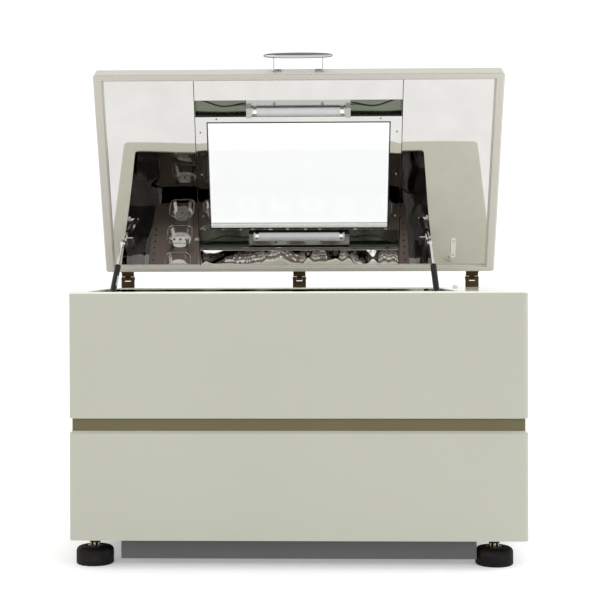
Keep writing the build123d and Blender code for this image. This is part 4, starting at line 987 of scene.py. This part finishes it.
class SHAKER_OT_spring_rings(bpy.types.Operator):
    """Coiled spring ring of every flask clamp, and the screws that hold the clamps"""

    bl_idname = "shaker.spring_rings"
    bl_label = "Spring Rings"

    def execute(self, context):
        sizes = context.scene.shaker_fittings
        half = sizes.spring_size / 2
        corner = 0.0205
        coil_radius = 0.00195
        run = 2 * (half - corner)
        arc = pi * corner / 2
        loop = 4 * (run + arc)

        def along(distance):
            """Point on the ring's centre line and its outward direction."""
            side, rest = divmod(distance % loop, run + arc)
            if rest < run:
                local, outward = Vector((half, rest - run / 2)), Vector((1, 0))
            else:
                turn = (rest - run) / corner
                outward = Vector((cos(turn), sin(turn)))
                local = Vector((half - corner, run / 2)) + outward * corner
            quarter = Matrix.Rotation(side * pi / 2, 2)
            return quarter @ local, quarter @ outward

        steps = sizes.spring_turns * 8
        points = []
        for step in range(steps):
            centre, outward = along(loop * step / steps)
            phase = 2 * pi * step / 8
            flat = centre + outward * (coil_radius * cos(phase))
            points.append((flat.x, flat.y, coil_radius * sin(phase)))
        deselect_all()
        curve = bpy.data.curves.new("coil", "CURVE")
        curve.dimensions = "3D"
        curve.bevel_depth = 0.00085
        curve.bevel_resolution = 0
        line = curve.splines.new("POLY")
        line.points.add(len(points) - 1)
        for control, point in zip(line.points, points):
            control.co = (*point, 1)
        line.use_cyclic_u = True
        coil = bpy.data.objects.new("coil", curve)
        bpy.context.collection.objects.link(coil)
        take(coil)
        bpy.ops.object.convert(target="MESH")
        coil = bpy.context.object
        bpy.ops.object.shade_smooth()
        places = [at(x, y, PLATFORM_TOP + SPRING_HEIGHT) for x, y in clamp_places()]
        coils = repeated(coil, places)
        fit(coils, "spring_rings", "platform", "Bright clamp sheet", ["clamp_springs"])

        places = [at(x, y, PLATFORM_TOP + CLAMP_FLOOR) for x, y in clamp_places()]
        places += [
            at(x + dx, y + dy, PLATFORM_TOP + CLAMP_FLOOR)
            for x, y in clamp_places() for dx, dy in ((-20, 0), (20, 0))
        ]
        screws = repeated(pan_head(0.0045), places)
        fit(screws, "clamp_screws", "platform", "Screw steel")
        return {"FINISHED"}


class SHAKER_OT_platform_bolts(bpy.types.Operator):
    """Hexagon bolts that hold the platform sheet to its carrier"""

    bl_idname = "shaker.platform_bolts"
    bl_label = "Platform Bolts"

    def execute(self, context):
        places = [
            at(PLATFORM_MIDDLE[0] + x, PLATFORM_MIDDLE[1] + y, PLATFORM_TOP)
            for x in (-280, -56, 56, 280) for y in (-62.5, 62.5)
        ]
        fit(repeated(hex_head(0.0065, 0.0055), places), "platform_bolts", "platform",
            "Ground bearing steel")
        return {"FINISHED"}


class SHAKER_OT_strut_labels(bpy.types.Operator):
    """Blank white label on the left gas strut, and the collars of both struts"""

    bl_idname = "shaker.strut_labels"
    bl_label = "Strut Labels"

    def execute(self, context):
        lower = Vector((0, *STRUT_STUD)) * MM
        upper = LID_FRAME @ (Vector((0, *STRUT_BALL)) * MM)
        lower.x = upper.x = 0
        line = (upper - lower).normalized()
        turn = line.to_track_quat("Z", "Y").to_matrix().to_4x4()
        for side in ("left", "right"):
            foot = lower + Vector((STRUT_X[side] * MM, 0, 0))
            base = Matrix.Translation(foot) @ turn
            collar = turned([
                (0.0048, 0.1905), (0.0088, 0.1905), (0.0094, 0.1915), (0.0094, 0.1965),
                (0.0088, 0.1980), (0.0062, 0.1992), (0.0048, 0.1992)])
            base_ring = turned([
                (0.0070, 0.0125), (0.0093, 0.0135), (0.0095, 0.0150), (0.0095, 0.0185), (0.0092, 0.0195),
                (0.0080, 0.0195)])
            ends = joined([collar, base_ring])
            smooth(ends, 35)
            settle(ends, base)
            fit(ends, f"strut_collar_{side}", f"strut_{side}_tube", "Strut black")
        deselect_all()
        bpy.ops.mesh.primitive_cylinder_add(
            vertices=48, radius=0.00915, depth=0.048, end_fill_type="NOTHING", location=(0, 0, 0.120))
        label = bpy.context.object
        settle(label)
        edit_faces(label, lambda face: face.center.x > -0.0045)
        bpy.ops.mesh.delete(type="FACE")
        bpy.ops.object.mode_set(mode="OBJECT")
        finish_modifier(label, "SOLIDIFY", thickness=0.00025, offset=1)
        smooth(label, 35)
        facing = Matrix.Rotation(radians(14), 4, "Z")
        foot = lower + Vector((STRUT_X["left"] * MM, 0, 0))
        settle(label, Matrix.Translation(foot) @ turn @ facing)
        fit(label, "strut_label", "strut_left_tube", "Label film")
        return {"FINISHED"}


class SHAKER_OT_sensor_screws(bpy.types.Operator):
    """Screws of the lid magnet and of the switch on the deck"""

    bl_idname = "shaker.sensor_screws"
    bl_label = "Sensor Screws"

    def execute(self, context):
        low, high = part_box("reed_switch")
        middle = (low + high) / 2 / MM
        reach = (high.y - low.y) / MM / 2 - 8
        places = [at(SWITCH_X, middle.y + end * reach, high.z / MM - SCREW_SINK) for end in (-1, 1)]
        fit(repeated(pan_head(0.0034), places), "reed_switch_screws", "cabinet", "Screw steel")
        places = [on_lid(SWITCH_X, y, LINER_FACE - 5, FACE_DOWN) for y in (-131, -87)]
        fit(repeated(pan_head(0.0042), places), "magnet_screws", "lid", "Screw steel")
        return {"FINISHED"}


class SHAKER_OT_control_panel(bpy.types.Operator):
    """Display, keys and rim of the control panel on the lid"""

    bl_idname = "shaker.control_panel"
    bl_label = "Control Panel"

    def execute(self, context):
        pitch = context.scene.shaker_fittings.key_pitch
        top = 0.0384
        middle_x, middle_y = 0.400, -0.3447
        rim = window_ring(
            (middle_x - 0.075, middle_y - 0.110), (middle_x + 0.075, middle_y + 0.110), 0.005,
            top - 0.0004, top + 0.0016, 0.0006)
        settle(rim, LID_FRAME)
        fit(rim, "panel_rim", "lid", "Bright clamp sheet")

        display = slab(
            (middle_x - 0.055, middle_y + 0.020, top - 0.0003),
            (middle_x + 0.055, middle_y + 0.088, top + 0.0012), 0.0008)
        edit_faces(display, lambda face: face.normal.z > 0.99)
        bpy.ops.mesh.inset(thickness=0.004)
        bpy.ops.transform.translate(value=(0, 0, -0.0007))
        leave_edit()
        settle(display, LID_FRAME)
        fit(display, "panel_display", "lid", "Display dark")

        key = slab((-0.011, -0.0075, -0.0003), (0.011, 0.0075, 0.0017), 0.0009, 3)
        edit_faces(key, lambda face: face.normal.z > 0.99)
        bpy.ops.mesh.inset(thickness=0.0022)
        bpy.ops.transform.translate(value=(0, 0, -0.0004))
        leave_edit()
        places = [
            LID_FRAME @ Matrix.Translation((middle_x + column * pitch, middle_y - 0.012 - row * 0.028, top))
            for row in range(3) for column in (-1, 0, 1)
        ]
        fit(repeated(key, places), "panel_keys", "lid", "Key rubber")
        return {"FINISHED"}


class SHAKER_OT_foot_fittings(bpy.types.Operator):
    """Threads, washers and lock nuts of the levelling feet"""

    bl_idname = "shaker.foot_fittings"
    bl_label = "Foot Fittings"

    def execute(self, context):
        for body, (x, y) in FOOT_PLACES.items():
            rings = [(0.0077, 0.047)]
            height = 0.0475
            while height < 0.0735:
                rings += [(0.0078, height), (0.0089, height + 0.0008)]
                height += 0.0016
            thread = turned(rings + [(0.0077, 0.0748)])
            washer = turned([
                (0.0175, 0.0462), (0.0190, 0.0466), (0.0190, 0.0478), (0.0175, 0.0484), (0.0085, 0.0484)])
            nut = turned([
                (0.0120, 0.0485), (0.0138, 0.0495), (0.0138, 0.0565), (0.0120, 0.0578), (0.0086, 0.0578)], 6)
            place = Matrix.Translation((x * MM, y * MM, 0))
            for piece, kind, finish, slot in (
                    (thread, "thread", "Ground bearing steel", "bearing_steel"),
                    (washer, "washer", "Ground bearing steel", "bearing_steel"),
                    (nut, "nut", "Brass nut", "bronze_hinge")):
                smooth(piece, 30)
                settle(piece, place)
                fit(piece, f"{body}_{kind}", body, finish)
        return {"FINISHED"}


class SHAKER_OT_cabinet_screws(bpy.types.Operator):
    """Screws of the back and side panels, the fan grille and the hinges"""

    bl_idname = "shaker.cabinet_screws"
    bl_label = "Cabinet Screws"

    def execute(self, context):
        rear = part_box("back_panels")[1].y / MM
        places = [
            at(x, rear, z, FACE_BACK)
            for z in (100, 340, 420, 700) for x in (-570, -285, 0, 285, 570)
            if (x, z) != (0, 700)
        ]
        for side in (-1, 1):
            turn = FACE_RIGHT if side > 0 else FACE_LEFT
            places += [
                at(side * 600, y, z, turn)
                for z in (95, 345, 412, 706) for y in (-285, 262)
            ]
        fit(repeated(pan_head(0.0042), places), "panel_screws", "cabinet", "Screw steel")
        return {"FINISHED"}


class SHAKER_OT_stage(bpy.types.Operator):
    """Camera, pale floor and soft studio light"""

    bl_idname = "shaker.stage"
    bl_label = "Stage"

    def execute(self, context):
        scene = context.scene
        studio = scene.shaker_studio
        deselect_all()
        bpy.ops.object.camera_add(location=studio.camera_place, rotation=studio.camera_turn)
        camera = bpy.context.object
        camera.name = "shaker_camera"
        camera.data.lens = studio.focal_length
        camera.data.sensor_width = 36
        camera.data.shift_x, camera.data.shift_y = studio.frame_shift
        scene.camera = camera

        deselect_all()
        bpy.ops.mesh.primitive_grid_add(x_subdivisions=4, y_subdivisions=4, size=60)
        floor = bpy.context.object
        floor.name = "studio_floor"
        floor.data.materials.append(self.floor_finish())

        for name, place, size, power in (
                ("key_light", (-2.6, -4.2, 2.9), 2.6, studio.key_power),
                ("fill_light", (3.6, -3.4, 1.9), 2.4, studio.fill_power),
                ("deck_light", (1.9, -0.2, 1.3), 0.7, studio.deck_power)):
            deselect_all()
            bpy.ops.object.light_add(type="AREA", location=place)
            light = bpy.context.object
            light.name = name
            light.data.size = size
            light.data.energy = power
            light.rotation_euler = (Vector((0, 0, 0.7)) - light.location).to_track_quat("-Z", "Y").to_euler()
        self.surround(scene, studio.sky_strength)
        scene.view_settings.view_transform = "Standard"
        return {"FINISHED"}

    def floor_finish(self):
        """White floor sheet with a faint cloudiness."""
        material = bpy.data.materials.new("Studio floor")
        material.use_nodes = True
        tree = material.node_tree
        shader = tree.nodes["Principled BSDF"]
        cloud = add_node(tree, "ShaderNodeTexNoise", [("Vector", object_points(tree))], Scale=0.4)
        level = ramp(tree, cloud.outputs["Fac"], 0.3, 0.7, 0.90, 0.92)
        tree.links.new(level, shader.inputs["Base Color"])
        shader.inputs["Roughness"].default_value = 0.9
        shader.inputs["Specular IOR Level"].default_value = 0.1
        shader.inputs["Emission Color"].default_value = (1, 1, 1, 1)
        shader.inputs["Emission Strength"].default_value = 0.30
        return material

    def surround(self, scene, strength):
        """White surround that darkens a little overhead."""
        world = bpy.data.worlds.new("Shaker surround")
        scene.world = world
        world.use_nodes = True
        tree = world.node_tree
        direction = add_node(tree, "ShaderNodeTexCoord").outputs["Generated"]
        height = add_node(tree, "ShaderNodeSeparateXYZ", [("Vector", direction)]).outputs["Z"]
        level = ramp(tree, height, 0.30, 0.95, strength, strength * 0.80)
        tree.links.new(level, tree.nodes["Background"].inputs["Color"])


# ------------------------------------------------------------------ add-on parts

MAKERS = (
    SHAKER_OT_finishes,
    SHAKER_OT_window_gasket,
    SHAKER_OT_hinge_strip,
    SHAKER_OT_lid_screws,
    SHAKER_OT_lamp_fittings,
    SHAKER_OT_handle,
    SHAKER_OT_spring_rings,
    SHAKER_OT_platform_bolts,
    SHAKER_OT_strut_labels,
    SHAKER_OT_sensor_screws,
    SHAKER_OT_control_panel,
    SHAKER_OT_foot_fittings,
    SHAKER_OT_cabinet_screws,
    SHAKER_OT_stage,
)
SETTINGS = (
    ("shaker_finish", ShakerFinish),
    ("shaker_fittings", ShakerFittings),
    ("shaker_studio", ShakerStudio),
)


class SHAKER_PT_sidebar(bpy.types.Panel):
    """Lists the settings and the makers of the shaker"""

    bl_idname = "SHAKER_PT_sidebar"
    bl_label = "Orbital Shaker"
    bl_space_type = "VIEW_3D"
    bl_region_type = "UI"
    bl_category = "Shaker"

    def draw(self, context):
        for attribute, group in SETTINGS:
            box = self.layout.box()
            settings = getattr(context.scene, attribute)
            for key in group.__annotations__:
                box.prop(settings, key)
        for maker in MAKERS:
            self.layout.operator(maker.bl_idname)


def register():
    for attribute, group in SETTINGS:
        bpy.utils.register_class(group)
        setattr(bpy.types.Scene, attribute, PointerProperty(type=group))
    for maker in MAKERS:
        bpy.utils.register_class(maker)
    bpy.utils.register_class(SHAKER_PT_sidebar)


def unregister():
    bpy.utils.unregister_class(SHAKER_PT_sidebar)
    for maker in reversed(MAKERS):
        bpy.utils.unregister_class(maker)
    for attribute, group in reversed(SETTINGS):
        delattr(bpy.types.Scene, attribute)
        bpy.utils.unregister_class(group)


def main():
    register()
    for maker in MAKERS:
        area, name = maker.bl_idname.split(".")
        getattr(getattr(bpy.ops, area), name)()
    bpy.context.view_layer.update()


if __name__ == "__main__":
    main()
